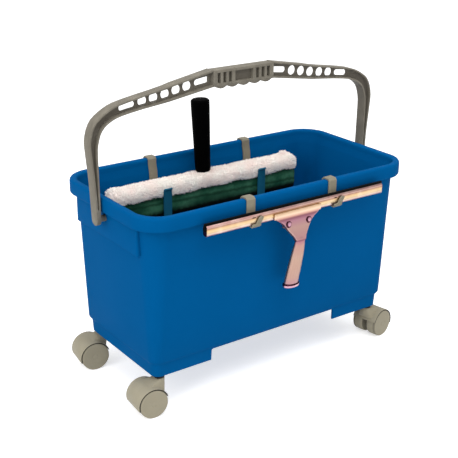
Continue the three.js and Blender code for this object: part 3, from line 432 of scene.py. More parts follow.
def worked_metal(name, base, tarnished, gloss, lines, relief, tints_and_light=None, span=(0, 1)):
    """Bare metal with drawn lines or cast pebbling, tarnish, pale edges that are rubbed wear and also a
    painted highlight, an optional tint ramp with painted light and shade bands, and dark marked faces:
    painted shade, and the end cap's dark band.
    """
    material, tree, shader = new_material(name)
    shader.inputs["Metallic"].default_value = 1
    effect = placed_group(tree, drawn_group if lines else grain_group)
    fresh = tint_and_light_ramp(tree, *span, tints_and_light) if tints_and_light else srgb(base)
    amount = math_node(tree, "MULTIPLY", effect.outputs["Tone"], TINTED_TARNISH if tints_and_light else 1.0)
    color = mixed_color(tree, amount, fresh, srgb(tarnished))
    edges = placed_group(tree, edge_wear_and_highlight_group, Reach=METAL_EDGE_REACH).outputs["Mask"]
    color = mixed_color(tree, math_node(tree, "MULTIPLY", edges, METAL_EDGE_WEAR_AND_HIGHLIGHT_SHARE), color, srgb(METAL_EDGE_WEAR_AND_HIGHLIGHT))
    tree.links.new(with_painted_shade_and_dark_band(tree, color, METAL_PAINTED_SHADE_AND_BAND), shader.inputs["Base Color"])
    rough = math_node(tree, "MULTIPLY", effect.outputs["Tone"], METAL_ROUGHNESS_DRIFT)
    tree.links.new(math_node(tree, "ADD", rough, gloss), shader.inputs["Roughness"])
    bumped(tree, shader, effect.outputs["Height"], relief, 0.4 * MM)
    return material


# %% The metals of this bucket, and its blade rubber
channel_low, channel_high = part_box("squeegee_channel")
handle_low, handle_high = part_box("squeegee_handle")
# Channel ramp: its gold and rose tint, with painted highlight and reflection bands and dark painted shading
# lines.
channel_tints_and_light_bands = [
    (0.0, "7c5874"), (0.1, "8e6a7e"), (0.18, "b39694"), (0.27, "c6b4a4"), (0.36, "bfa482"), (0.46, "cdb68c"),
    (0.6, "cdae80"), (0.7, "bc966e"), (0.78, "8f6a5c"), (0.84, "a88274"), (0.9, "b8948a"), (1.0, "94726f"),
]
# Handle ramp: its rose and tan tint, with painted dark shading lines at the plate's crease and under the
# jaw, and a painted highlight on the jaw.
handle_tints_and_light_bands = [
    (0.0, "a87e86"), (0.1, "ac8a7e"), (0.35, "ae9080"), (0.54, "ac867e"), (0.587, "a2707a"),
    (0.605, "7a4a59"), (0.62, "a87e80"), (0.78, "ae8c84"), (0.87, "a67886"), (0.905, "80505f"),
    (0.93, "c89c8c"), (0.955, "e0c8ae"), (1.0, "bc9a76"),
]
channel_brass = worked_metal(
    "drawn_brass", "e8b878", "c79a86", 0.3, True, 0.08, channel_tints_and_light_bands, (channel_low.z, channel_high.z))
cast_copper = worked_metal(
    "cast_rose_metal", "d8a184", "b08078", 0.4, False, 0.1, handle_tints_and_light_bands, (handle_low.z, handle_high.z))
screw_copper = worked_metal("turned_rose_metal", "c293a6", "a87a90", 0.28, False, 0.05)
steel = worked_metal("plain_steel", "8c8c90", "6e6e72", 0.3, True, 0.08)
blade_rubber = moulded_plastic(
    "blade_black_rubber", "050505", "080808", "1a1a1b", 0.6, wear=0.2, dust=0.03, grain=0.2, specular=0.05)

# %% Fuzzy cloths


def fuzzy_cloth(name, base, shade, fibre_scale, relief, sheen):
    """Cloth with fibre relief, cloudy tone and a soft sheen."""
    material, tree, shader = new_material(name)
    clouds = ramp(tree, noise_value(tree, 38.0, detail=6, roughness=0.65), 0.35, 0.7)
    color = mixed_color(tree, clouds, srgb(base), srgb(shade))
    tree.links.new(color, shader.inputs["Base Color"])
    shader.inputs["Roughness"].default_value = 0.95
    shader.inputs["Sheen Weight"].default_value = sheen
    shader.inputs["Sheen Roughness"].default_value = 0.5
    shader.inputs["Specular IOR Level"].default_value = 0.05
    bumped(tree, shader, noise_value(tree, fibre_scale, detail=6, roughness=0.7), relief, MM)
    return material, tree, color, shader


fleece_white, *_ = fuzzy_cloth("long_pile_fleece", "fffcf6", "fff0ea", 420.0, 0.2, 0.4)

# %% The scrub cloth: painted shadow under the pile, painted shade along one long crease and in soft folds, and darker at its fringe
FRINGE_SPAN, SHADED_SPAN = (0.2545, 0.2465), (0.2665, 0.2735)
CREASE_FALL, CREASE_HEIGHT, CREASE_WIDTH = 0.028, 0.2618, 0.0036
scrub_green, tree, color, shader = fuzzy_cloth("green_scrub_cloth", "1a513b", "498062", 900.0, 0.7, 0.02)
place = object_place(tree)
ragged = math_node(tree, "MULTIPLY", noise_value(tree, 180.0, detail=4), 0.006)
height = math_node(tree, "ADD", place["Z"], ragged)
fallen = math_node(tree, "ADD", math_node(tree, "MULTIPLY", place["X"], CREASE_FALL), height)
dark_bands = [
    # painted shadow under the pile
    (ramp(tree, height, *SHADED_SPAN), 0.85, "082e1f"),
    # painted shade in the soft folds
    (ramp(tree, noise_value(tree, 9.0, detail=2, stretch=(1, 1, 2.5)), 0.5, 0.66), 0.7, "0c3526"),
    # painted shade along the crease
    (math_node(tree, "MULTIPLY", ramp(tree, fallen, CREASE_HEIGHT - CREASE_WIDTH, CREASE_HEIGHT),
               ramp(tree, fallen, CREASE_HEIGHT + CREASE_WIDTH, CREASE_HEIGHT)), 0.75, "08281b"),
    (ramp(tree, height, *FRINGE_SPAN), 1.0, "07120d"),
]
for mask, share, tint in dark_bands:
    color = mixed_color(tree, math_node(tree, "MULTIPLY", mask, share), color, srgb(tint))
tree.links.new(color, shader.inputs["Base Color"])
print("materials", len(bpy.data.materials))

# %% [markdown]
# ## Tools of the bench
#
# Every piece is finished the same way: it is made at its size and place, its edges are rounded, its
# place is put into its mesh, and it is tied to the body it moves with.

# %% Bench helpers
bodies_of = {node: body for body, nodes in frame["record"]["behaviour"]["bodies"].items() for node in nodes}
CORNERS = ("front_left", "rear_left", "front_right", "rear_right")


def only(piece):
    """Deselects everything and makes one piece active."""
    bpy.ops.object.select_all(action="DESELECT")
    piece.select_set(True)
    bpy.context.view_layer.objects.active = piece


def new_piece(name, mesh):
    """A mesh as a new piece in the scene, made active."""
    piece = bpy.data.objects.new(name, mesh)
    bpy.context.scene.collection.objects.link(piece)
    only(piece)
    return piece


def open_all(piece):
    """Opens a piece in edit mode, all of it selected."""
    only(piece)
    bpy.ops.object.mode_set(mode="EDIT")
    bpy.ops.mesh.select_all(action="SELECT")


def close_piece():
    """Leaves edit mode."""
    bpy.ops.object.mode_set(mode="OBJECT")


def apply_place(piece):
    """Puts a piece's place, turn and scale into its mesh."""
    only(piece)
    bpy.ops.object.transform_apply(location=True, rotation=True, scale=True)


def modified(piece, kind, **settings):
    """Adds one modifier with its settings and applies it."""
    modifier = piece.modifiers.new(kind.lower(), kind)
    for setting, value in settings.items():
        setattr(modifier, setting, value)
    only(piece)
    bpy.ops.object.modifier_apply(modifier=modifier.name)


def combined(piece, tool, operation):
    """Joins or cuts a piece with a tool shape, and removes the tool."""
    modified(piece, "BOOLEAN", object=tool, operation=operation, solver="EXACT")
    bpy.data.objects.remove(tool)


def smooth(piece, degrees=38):
    """Soft shading across gentle bends, crisp shading across real edges."""
    only(piece)
    bpy.ops.object.shade_smooth_by_angle(angle=math.radians(degrees))


def dressed(piece, material, slot_name, *nodes, body=None):
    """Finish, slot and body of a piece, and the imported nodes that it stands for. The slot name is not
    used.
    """
    piece.data.materials.clear()
    piece.data.materials.append(material)
    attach(piece, body or bodies_of[nodes[0]])
    if nodes:
        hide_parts(*nodes)
    return piece


def mark_painted_shade_and_dark_band(piece, amount_at):
    """Marks each face with how dark it is painted, from its middle and its normal: painted shade in recesses
    and gaps, and the end cap's dark band.
    """
    marks = piece.data.attributes.new("painted_shade_and_dark_band", "FLOAT", "FACE")
    for face in piece.data.polygons:
        marks.data[face.index].value = amount_at(face.center, face.normal)


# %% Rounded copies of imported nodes


def node_copy(node_name, name):
    """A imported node's solid as a new piece, its corners merged and its flat faces whole."""
    piece = new_piece(name, frame["nodes"][node_name].data.copy())
    bpy.ops.mesh.customdata_custom_splitnormals_clear()
    open_all(piece)
    bpy.ops.mesh.remove_doubles(threshold=0.01 * MM)
    bpy.ops.mesh.select_all(action="SELECT")
    bpy.ops.mesh.dissolve_limited(angle_limit=math.radians(1))
    close_piece()
    return piece


def rounded(piece, edge, segments=2, angle=30, shade=38):
    """Rounds the edges that turn more than an angle, then shades the piece."""
    modified(piece, "BEVEL", width=edge, segments=segments, limit_method="ANGLE",
             angle_limit=math.radians(angle), use_clamp_overlap=True)
    smooth(piece, shade)
    return piece


# %% [markdown]
# ## The tub
#
# The real tub is one moulding: tapered walls, a hanging rim, a small step above the feet and a
# tunnel between them. A box could be bevelled and hollowed, but its corners tighten on the way down.
# So a circle has its quarters moved apart into a rounded rectangle, which is extruded level by level
# up the outside and down the inside.

# %% Tub levels
# Height, half length, half width and corner radius of each loop, in millimetres.
tub_levels = [
    (80, 224, 98.25, 10), (61, 224, 98.25, 10), (60, 224.8, 99.05, 10.8), (60, 226.2, 100.45, 12.2),
    (61, 227, 101.25, 13), (80.2, 228.3, 102.55, 14.3), (81.8, 228.8, 103.05, 14.8),
    (86.2, 232.3, 106.55, 17.4), (88.2, 233.1, 107.35, 17.8), (140, 235.5, 110.4, 22),
    (230, 239.6, 115.7, 30), (303, 243, 120, 36), (304.4, 243.6, 120.6, 36.6),
    (306.4, 245.4, 122.4, 38.4), (308, 246, 123, 39), (321, 246, 123, 39), (322.5, 247, 124, 40),
    (322.5, 251, 128, 44), (321, 252, 129, 45), (305, 252, 129, 45), (304, 252.8, 129.8, 45.8),
    (304, 254, 131, 47), (305.2, 254.8, 131.8, 47.8), (306.5, 255, 132, 48), (321.5, 255, 132, 48),
    (324, 254.4, 131.4, 47.4), (325.5, 253.2, 130.2, 46.2), (326, 251.5, 128.5, 44.5),
    (326, 246.5, 123.5, 39.5), (325.5, 244.9, 121.9, 37.9), (324.2, 243.6, 120.6, 36.6),
    (322, 243, 120, 36), (317, 243, 120, 36), (315.5, 242.8, 119.8, 35.8), (305, 240.4, 117.4, 33.4),
    (303, 240, 117, 33), (230, 236.7, 112.7, 27), (140, 232.6, 107.5, 19), (92, 230.2, 104.5, 14.8),
    (86, 227.5, 101.7, 12.8), (83.6, 225.6, 99.9, 11.5), (83, 223.6, 97.9, 10),
]
QUARTER_POINTS = 14


def moved_to_level(points, before, after):
    """Moves a loop's points from one rounded rectangle to the next."""
    for point in points:
        side = [math.copysign(1, point.co[axis]) for axis in (0, 1)]
        for axis in (0, 1):
            turn = (point.co[axis] / MM - side[axis] * (before[1 + axis] - before[3])) / before[3]
            point.co[axis] = MM * (side[axis] * (after[1 + axis] - after[3]) + turn * after[3])
        point.co.z = MM * after[0]


bpy.ops.mesh.primitive_circle_add(vertices=4 * QUARTER_POINTS, radius=MM, fill_type="NGON",
                                  rotation=(0, 0, math.pi / (4 * QUARTER_POINTS)))
tub = bpy.context.object
tub.name = "tub_moulding"
apply_place(tub)
bpy.ops.object.mode_set(mode="EDIT")
level_before = (0, 1, 1, 1)
for level in tub_levels:
    edited = bmesh.from_edit_mesh(tub.data)
    if level is not tub_levels[0]:
        bpy.ops.mesh.extrude_region_move(TRANSFORM_OT_translate={"value": (0, 0, MM)})
        edited = bmesh.from_edit_mesh(tub.data)
    moved_to_level([v for v in edited.verts if v.select], level_before, level)
    level_before = level
bpy.ops.mesh.select_all(action="SELECT")
bpy.ops.mesh.normals_make_consistent(inside=False)
close_piece()
print("tub shell", len(tub.data.vertices), "points")

# %% End panels, where the handle turns
PANEL_ROOT, PANEL_FACE, PANEL_HALF = 239.5, 247, 91
PANEL_BOTTOM, PANEL_TOP, PANEL_EDGE = 259, 310, 2.2
INSIDE_LOW, INSIDE_HIGH = 241.2, 242.6


def rounded_block(low, high, edge, segments=3):
    """A block between two corners in millimetres, with all its edges bevelled."""
    bpy.ops.mesh.primitive_cube_add(size=1, location=[MM * (a + b) / 2 for a, b in zip(low, high)])
    block = bpy.context.object
    block.scale = [MM * (b - a) for a, b in zip(low, high)]
    apply_place(block)
    open_all(block)
    bpy.ops.mesh.bevel(offset=MM * edge, segments=segments, affect="EDGES")
    close_piece()
    return block


for side in (-1, 1):
    near, far = sorted((side * PANEL_ROOT, side * PANEL_FACE))
    panel = rounded_block((near, -PANEL_HALF, PANEL_BOTTOM), (far, PANEL_HALF, PANEL_TOP), PANEL_EDGE)
    for inside, bottom in ((INSIDE_LOW, 200), (INSIDE_HIGH, 303)):
        near, far = sorted((side * 200, side * inside))
        combined(panel, rounded_block((near, -120, bottom), (far, 120, 340), 0.5, 1), "DIFFERENCE")
    combined(tub, panel, "UNION")
print("tub with end panels", len(tub.data.vertices), "points")

# %% Tunnel between the feet, caster posts and handle sockets
TUNNEL_HALF, TUNNEL_TOP = 124.5, 80
CASTER_X, CASTER_Y = 213.5, 90
POST_RADIUS, BORE_RADIUS = 9.7, 6.3
SOCKET_RADIUS, SOCKET_X, SOCKET_HEIGHT = 5.3, 247.8, 292


def cylinder(radius, length, middle, turn=0):
    """A plain cylinder about its middle, in millimetres, turned about Y from upright."""
    bpy.ops.mesh.primitive_cylinder_add(vertices=32, radius=MM * radius, depth=MM * length,
                                        rotation=(0, turn, 0), location=[MM * v for v in middle])
    shape = bpy.context.object
    apply_place(shape)
    return shape


combined(tub, rounded_block((-TUNNEL_HALF, -150, 30), (TUNNEL_HALF, 150, TUNNEL_TOP), 3), "DIFFERENCE")
for x in (-CASTER_X, CASTER_X):
    for y in (-CASTER_Y, CASTER_Y):
        combined(tub, cylinder(POST_RADIUS, 20.2, (x, y, 70.5)), "UNION")
        combined(tub, cylinder(BORE_RADIUS, 38.9, (x, y, 59.45)), "DIFFERENCE")
for side in (-1, 1):
    hole = cylinder(SOCKET_RADIUS, 10, (side * SOCKET_X, 0, SOCKET_HEIGHT), math.pi / 2)
    combined(tub, hole, "DIFFERENCE")

# %% Tub in place
tub.location = (0, TUB_Y, 0)
apply_place(tub)
smooth(tub, 32)
dressed(tub, tub_blue, "tub_blue", "tub")


def box_mm(piece):
    """The two corners of a piece's box, in millimetres."""
    return [round(v / MM, 1) for v in (*piece.bound_box[0], *piece.bound_box[6])]


print("tub box", box_mm(tub))

# %% [markdown]
# ## The bail handle
#
# Its arms are channel sections with pierced webs, and the grip has finger bumps below and small
# panels on both faces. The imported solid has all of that, but its holes have few corners. They could be
# bored again, which breaks so thin a web, so a copy has the corners of its holes moved out a little and
# bevelled. Then it gets moulded edges that catch light.

# %% Bail handle, with its holes made round
# Middle of each round hole of the right arm, in millimetres from the middle of the handle.
round_holes = [(100.94, 471.76), (120.24, 468.56), (139.61, 464.85), (159.56, 462.03), (178.92, 459.67)]
HOLE_REACH, HOLE_GROWTH, CORNER_CUT = 8.2, 1.05, 0.8
HOLE_SIDE, HOLE_BEND = 0.0035, 0.2
WEB_HALF, WEB_SHADE = 0.0035, 0.55
bail = node_copy("bail_handle", "bail_moulding")
for side in (-1, 1):
    for x, z in round_holes:
        centre = Vector((side * x * MM, z * MM))
        for point in bail.data.vertices:
            spoke = Vector((point.co.x, point.co.z)) - centre
            if spoke.length < HOLE_REACH * MM:
                point.co.x += (HOLE_GROWTH - 1) * spoke.x
                point.co.z += (HOLE_GROWTH - 1) * spoke.y
open_all(bail)
bpy.ops.mesh.select_all(action="DESELECT")
edited = bmesh.from_edit_mesh(bail.data)
for edge in edited.edges:
    start, end = edge.verts[0].co, edge.verts[1].co
    length = edge.calc_length()
    through_web = abs(start.y - end.y) > 0.98 * length and abs(start.y + end.y - 2 * TUB_Y) < 0.0001
    edge.select = through_web and length < HOLE_SIDE and edge.calc_face_angle() > HOLE_BEND
bmesh.update_edit_mesh(bail.data)
print("hole corners", sum(edge.select for edge in edited.edges))
bpy.ops.mesh.bevel(offset=CORNER_CUT * MM, segments=2, affect="EDGES")
close_piece()
rounded(bail, 0.6 * MM, angle=32)


def web_shade(middle, normal):
    """Painted shade on the web, which lies deep between the arm's two lips."""
    return WEB_SHADE if abs(normal.y) > 0.7 and abs(middle.y - TUB_Y) < WEB_HALF else 0


mark_painted_shade_and_dark_band(bail, web_shade)
print("bail box", box_mm(bail))
dressed(bail, bail_taupe, "bail_taupe", "bail_handle")

# %% [markdown]
# ## The casters
#
# Each caster has a hood with two fenders, a stem in a black sleeve, and two wheels. A wheel could be a
# bevelled cylinder, but its face steps and its rim is crowned, so it is turned like wood: a half
# profile is spun round the axle. One wheel is made and copied to its places.

# %% One wheel, spun round the Z axis
# Radius and height of each point of the half profile, in millimetres.
WHEEL_WIDTH = 18.5
SHOULDER, SHOULDER_SHADE = 14, 0.35
wheel_profile = [
    (0, 0.2), (2.8, 0.2), (3.2, 0.6), (20.5, 0.6), (21.6, 0), (22.4, 0.3), (23.2, 1.2), (23.5, 2.6),
    (23.5, 13.6),
    (23.4, SHOULDER), (23.3, 14.3), (23.25, 15), (23.25, 17.2), (23.05, 17.9), (22.5, 18.35), (21.7, 18.5),
    (19, 18.42), (15, 18.25), (10, 18.12), (5.4, 18.05), (4.9, 17.9), (4.4, 17.9), (4, 18.05), (2, 18.2),
    (0, 18.25),
]
wheel_mesh = bpy.data.meshes.new("wheel_profile")
wheel_mesh.from_pydata([(MM * r, 0, MM * z) for r, z in wheel_profile],
                       [(i, i + 1) for i in range(len(wheel_profile) - 1)], [])
pattern_wheel = new_piece("pattern_wheel", wheel_mesh)
open_all(pattern_wheel)
bpy.ops.mesh.spin(steps=56, angle=2 * math.pi, center=(0, 0, 0), axis=(0, 0, 1))
bpy.ops.mesh.select_all(action="SELECT")
bpy.ops.mesh.remove_doubles(threshold=0.02 * MM)
bpy.ops.mesh.normals_make_consistent(inside=False)
close_piece()
smooth(pattern_wheel, 34)


def shoulder_shade(middle, normal):
    """Painted shade on the shoulder, next to the fender's edge."""
    on_rim = middle.xy.length > 22 * MM and normal.z < 0.4
    return SHOULDER_SHADE if on_rim and middle.z > SHOULDER * MM else 0


mark_painted_shade_and_dark_band(pattern_wheel, shoulder_shade)
print("pattern wheel", len(pattern_wheel.data.polygons), "faces")


def middle_of(node_name):
    """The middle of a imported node's box."""
    low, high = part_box(node_name)
    return (low + high) / 2


# %% Wheels, hoods, stems and sleeves of the four casters
HOOD_INSIDE, HOOD_EDGE = 24.7, 25.2
for corner in CORNERS:
    centres = {side: middle_of(f"caster_wheel_{side}_{corner}") for side in "ab"}
    for side, other in (("a", "b"), ("b", "a")):
        outward = (centres[side] - centres[other]).normalized()
        wheel = new_piece(f"turned_wheel_{side}_{corner}", pattern_wheel.data.copy())
        wheel.matrix_world = Matrix.Translation(centres[side] - outward * WHEEL_WIDTH / 2 * MM) @ (
            outward.to_track_quat("Z", "Y").to_matrix().to_4x4())
        apply_place(wheel)
        dressed(wheel, caster_grey, "caster_grey", f"caster_wheel_{side}_{corner}")
    hood = node_copy(f"caster_hood_{corner}", f"hood_moulding_{corner}")
    rounded(hood, 0.45 * MM, angle=34, shade=44)
    axle_way = (centres["a"] - centres["b"]).normalized()

    def hood_gap_shadow(middle, normal):
        """Painted shadow on the faces that look at the wheels across the narrow gap, and on the fender's cut
        edge.
        """
        spoke = middle - centres["a"]
        spoke -= spoke.dot(axle_way) * axle_way
        inner = spoke.length < HOOD_INSIDE * MM and normal.dot(spoke) <= 0
        edge = spoke.length < HOOD_EDGE * MM and abs(normal.dot(axle_way)) > 0.8
        return 1 if inner or edge else 0

    mark_painted_shade_and_dark_band(hood, hood_gap_shadow)
    dressed(hood, caster_grey, "caster_grey", f"caster_hood_{corner}")
    for node, name, edge, material, slot_name in (
            (f"caster_stem_{corner}", f"turned_stem_{corner}", 0.4, socket_black, "caster_steel"),
            (f"caster_socket_{corner}", f"socket_sleeve_{corner}", 0.3, socket_black, "socket_black"),
            (f"caster_axle_{corner}", f"cut_axle_{corner}", 0.3, steel, "caster_steel")):
        dressed(rounded(node_copy(node, name), edge * MM, angle=40), material, slot_name, node)
bpy.data.objects.remove(pattern_wheel)

# %% [markdown]
# ## Holders and hooks
#
# Bent strips of plastic clip over the rim. The rear pair reaches into the tub and carries the washer;
# its front uprights are a teal strip joined to the taupe strap. A second material on one piece would
# blur that joint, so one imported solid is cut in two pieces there. The front pair hangs outside and
# carries the squeegee.

# %% Holders and hooks
STRIP_EDGE, JOINT_PLACE = 0.5 * MM, 8 * MM


def kept_side(piece, place, way):
    """Cuts a piece along a plane across Y and keeps the part on one side, its cut closed."""
    open_all(piece)
    bpy.ops.mesh.bisect(plane_co=(0, place, 0), plane_no=(0, way, 0), use_fill=True, clear_inner=True)
    close_piece()
    return piece


def bent_strip(piece, material, slot_name, node):
    """A strip with its edges softened, dressed for the node it stands for."""
    dressed(rounded(piece, STRIP_EDGE, segments=3, angle=25), material, slot_name, node)


for side in ("left", "right"):
    node = f"rear_holder_{side}"
    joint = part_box(node)[0].y + JOINT_PLACE
    bent_strip(kept_side(node_copy(node, f"rim_strap_{side}"), joint, 1), hook_taupe, "hook_taupe", node)
    upright = kept_side(node_copy(node, f"front_upright_{side}"), joint, -1)
    bent_strip(upright, holder_teal, "holder_teal", node)
    node = f"front_hook_{side}"
    bent_strip(node_copy(node, f"front_strap_{side}"), hook_taupe, "hook_taupe", node)

# %% [markdown]
# ## The squeegee
#
# A drawn brass channel holds the rubber. The rose coloured handle is a casting: its plate flows into
# the grip. Bevels alone would leave the joins looking cut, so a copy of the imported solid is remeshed
# and smoothed, and its neck, waist and grip are drawn to the curves of the real one.

# %% Channel and rubber
SLOT_ASIDE, SLOT_BELOW = 6 * MM, 4.2 * MM
SHOULDER_ABOVE, SHOULDER_RISE = 2 * MM, 1.4 * MM
SLOT_BACK, SLOT_LOW, SLOT_HIGH = 1.4 * MM, 6 * MM, 2 * MM
channel = node_copy("squeegee_channel", "drawn_channel")
for side in ("left", "right"):
    slot_cut = rounded_block((-3.2, -4, -0.8), (3.2, 4, 0.8), 0.75, 2)
    slot_x = middle_of(f"front_hook_{side}").x - SLOT_ASIDE
    slot_cut.location = (slot_x, channel_low.y, channel_high.z - SLOT_BELOW)
    apply_place(slot_cut)
    combined(channel, slot_cut, "DIFFERENCE")
shoulder = (channel_low.z + channel_high.z) / 2 + SHOULDER_ABOVE
for point in channel.data.vertices:
    if point.co.z > shoulder:
        point.co.z += SHOULDER_RISE
rounded(channel, 0.8 * MM, segments=3, angle=25)


def slot_shade(middle, normal):
    """Painted shade inside the slots."""
    behind = middle.y > channel_low.y + SLOT_BACK and normal.y > -0.5 and normal.z < 0.5
    return 1 if behind and SLOT_HIGH < channel_high.z - middle.z < SLOT_LOW else 0


mark_painted_shade_and_dark_band(channel, slot_shade)
dressed(channel, channel_brass, "channel_brass", "squeegee_channel")
blade = rounded(node_copy("squeegee_rubber", "blade_strip"), 0.3 * MM, angle=40)
dressed(blade, blade_rubber, "blade_rubber", "squeegee_rubber")

# %% Screws, with a painted shadow ring where each sits in the plate and painted shade on each head's sides
HEAD_HEIGHT, HEAD_FLAT, HEAD_SHADE = 2 * MM, 2.6 * MM, 0.85
screw_heads = []


def from_head(middle, head):
    """How far a point of the plate lies from the middle of a screw head."""
    return math.hypot(middle.x - head.x, middle.z - head.z)


for side in ("left", "right"):
    node = f"squeegee_screw_{side}"
    screw = rounded(node_copy(node, f"turned_screw_{side}"), 0.6 * MM, segments=3, angle=40)
    screw_low, screw_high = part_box(node)
    rim = [v.co.z for v in screw.data.vertices if v.co.y < screw_low.y + HEAD_HEIGHT]
    head = Vector(((screw_low.x + screw_high.x) / 2, screw_low.y, sum(rim) / len(rim)))
    screw_heads.append(head)
    # painted shade on each head, all but its flat front middle
    mark_painted_shade_and_dark_band(screw, lambda middle, normal: HEAD_SHADE if normal.y > -0.9
                 or from_head(middle, head) > HEAD_FLAT else 0)
    dressed(screw, screw_copper, "handle_copper", node)

# %% Cast handle, clamp plate and end cap
NECK_SHARE, SCREW_SHARE = 0.55, 0.79
WAIST_SHARE, WAIST_REACH, WAIST_FULLNESS = 0.73, 0.13, 0.13
GRIP_SPREAD, CAP_SPREAD, SPREAD_RUN = 0.06, 0.13, 20 * MM
NECK_SHIFT = Vector((3.5 * MM, 0, 2.5 * MM))
RING_INSIDE, RING_OUTSIDE, RING_SHADE = 3 * MM, 5.4 * MM, 0.95
CAP_LIP = 3.6 * MM
handle_middle = (handle_low.x + handle_high.x) / 2
handle_height = handle_high.z - handle_low.z
neck_height = handle_low.z + NECK_SHARE * handle_height
print("handle", round(handle_height, 4), "m high, neck at", round(neck_height, 4))


def height_share(point):
    """How far up the handle a point lies, from 0 to 1."""
    return (point.co.z - handle_low.z) / handle_height


def eased(share):
    """A share from 0 to 1 with a soft start and a soft end."""
    share = min(1, max(0, share))
    return share * share * (3 - 2 * share)


def spread_grip(piece, spread):
    """Swells the grip sideways below the neck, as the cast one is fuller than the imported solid."""
    for point in piece.data.vertices:
        below = min(1, max(0, (neck_height - point.co.z) / SPREAD_RUN))
        point.co.x += spread * below * (point.co.x - handle_middle)


def shifted_neck(piece):
    """Moves the neck a little up and to the right; the grip's end and the plate's top stay."""
    for point in piece.data.vertices:
        share = height_share(point)
        near = min(share / NECK_SHARE, (SCREW_SHARE - share) / (SCREW_SHARE - NECK_SHARE))
        point.co += NECK_SHIFT * eased(near)


def filled_waist(piece):
    """Straightens the sides of the plate, between the neck and the screws."""
    for point in piece.data.vertices:
        near = eased(1 - abs(height_share(point) - WAIST_SHARE) / WAIST_REACH)
        point.co.x += WAIST_FULLNESS * near * (point.co.x - handle_middle)


handle = node_copy("squeegee_handle", "cast_handle")
modified(handle, "REMESH", mode="VOXEL", voxel_size=0.8 * MM)
modified(handle, "SMOOTH", factor=0.5, iterations=5)
spread_grip(handle, GRIP_SPREAD)
filled_waist(handle)
shifted_neck(handle)
smooth(handle, 60)


def near_screw(middle, normal):
    """Painted shadow on the plate in a thin ring round each screw head."""
    ringed = any(RING_INSIDE < from_head(middle, head) < RING_OUTSIDE for head in screw_heads)
    return RING_SHADE if ringed and normal.y < 0 else 0


mark_painted_shade_and_dark_band(handle, near_screw)
dressed(handle, cast_copper, "handle_copper", "squeegee_handle")
clamp = rounded(node_copy("squeegee_clamp_plate", "bent_clamp_plate"), 0.4 * MM, angle=30)
dressed(clamp, cast_copper, "handle_copper", "squeegee_clamp_plate")
cap = rounded(node_copy("squeegee_handle_cap", "rolled_end_cap"), 1.4 * MM, segments=4, angle=40)
spread_grip(cap, CAP_SPREAD)
cap_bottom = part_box("squeegee_handle_cap")[0].z
# the cap's dark band, above its lowest few millimetres
mark_painted_shade_and_dark_band(cap, lambda middle, normal: 1 if middle.z > cap_bottom + CAP_LIP else 0)
dressed(cap, screw_copper, "handle_copper", "squeegee_handle_cap")

# %% [markdown]
# ## The washer
#
# A T bar carries a sleeve: long white pile above, green scrub cloth below. Hair would be lost in an
# export and a cloth simulation would barely move a sleeve on its bar, so the pile is thousands of small
# bent tufts on a lumpy body, and the cloth is lofted with soft wrinkles, a crease and a dark fringe.

# %% Sleeve measures
fleece_low, fleece_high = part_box("washer_fleece")
cloth_low, cloth_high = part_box("washer_scrub_cloth")
grip_middle = middle_of("washer_grip")
SLEEVE_MIDDLE = (fleece_low.y + fleece_high.y) / 2
SLEEVE_SPLIT = (fleece_low.z + cloth_high.z) / 2
RING_POINTS, SLEEVE_RINGS = 44, 130
print("sleeve", round(fleece_high.x - fleece_low.x, 3), "long, split at", round(SLEEVE_SPLIT, 3))

# %% Loft through rings
ring_angles = [2 * math.pi * step / RING_POINTS for step in range(RING_POINTS)]


def loft(name, ring_at):
    """A closed mesh through rings along a sleeve, its two ends closed by one face each."""
    rings = [ring_at(i / (SLEEVE_RINGS - 1)) for i in range(SLEEVE_RINGS)]
    last = (SLEEVE_RINGS - 1) * RING_POINTS
    faces = [tuple(reversed(range(RING_POINTS))), tuple(range(last, last + RING_POINTS))]
    for first in range(0, last, RING_POINTS):
        for j in range(RING_POINTS):
            a, b = first + j, first + (j + 1) % RING_POINTS
            faces.append((a, b, b + RING_POINTS, a + RING_POINTS))
    mesh = bpy.data.meshes.new(name)
    mesh.from_pydata([point for ring in rings for point in ring], [], faces)
    piece = new_piece(name, mesh)
    open_all(piece)
    bpy.ops.mesh.normals_make_consistent(inside=False)
    close_piece()
    return piece


def end_draw(share, reach, power=2.6):
    """How much of its full size a sleeve has near its ends: 1 along its run, down to 0 at its tips."""
    near_end = min(share, 1 - share) / reach
    return 1 if near_end >= 1 else max(0.0, 1 - (1 - near_end) ** power) ** (1 / power)


def boxed(way, power):
    """One of a circle's two ways, from -1 to 1, drawn out so that the circle turns into a soft box."""
    return math.copysign(abs(way) ** power, way)


def bump(distance, reach):
    """A soft bump: 1 in its middle, almost 0 beyond two reaches."""
    return math.exp(-(distance / reach) ** 2)


# %% Fleece body: lumpy, with a furrow along its top, a raised far end and a swell before the grip
PILE_HALF, PILE_LUMP = 17.6 * MM, 1.1 * MM
FURROW_DEPTH, FURROW_ASIDE, FURROW_REACH = 3.2 * MM, 2 * MM, 1.6 * MM
END_PLACE, END_RISE, END_REACH = 0.962, 4.5 * MM, 0.014
FOOT_SWELL, FOOT_SPREAD = 5 * MM, 11 * MM


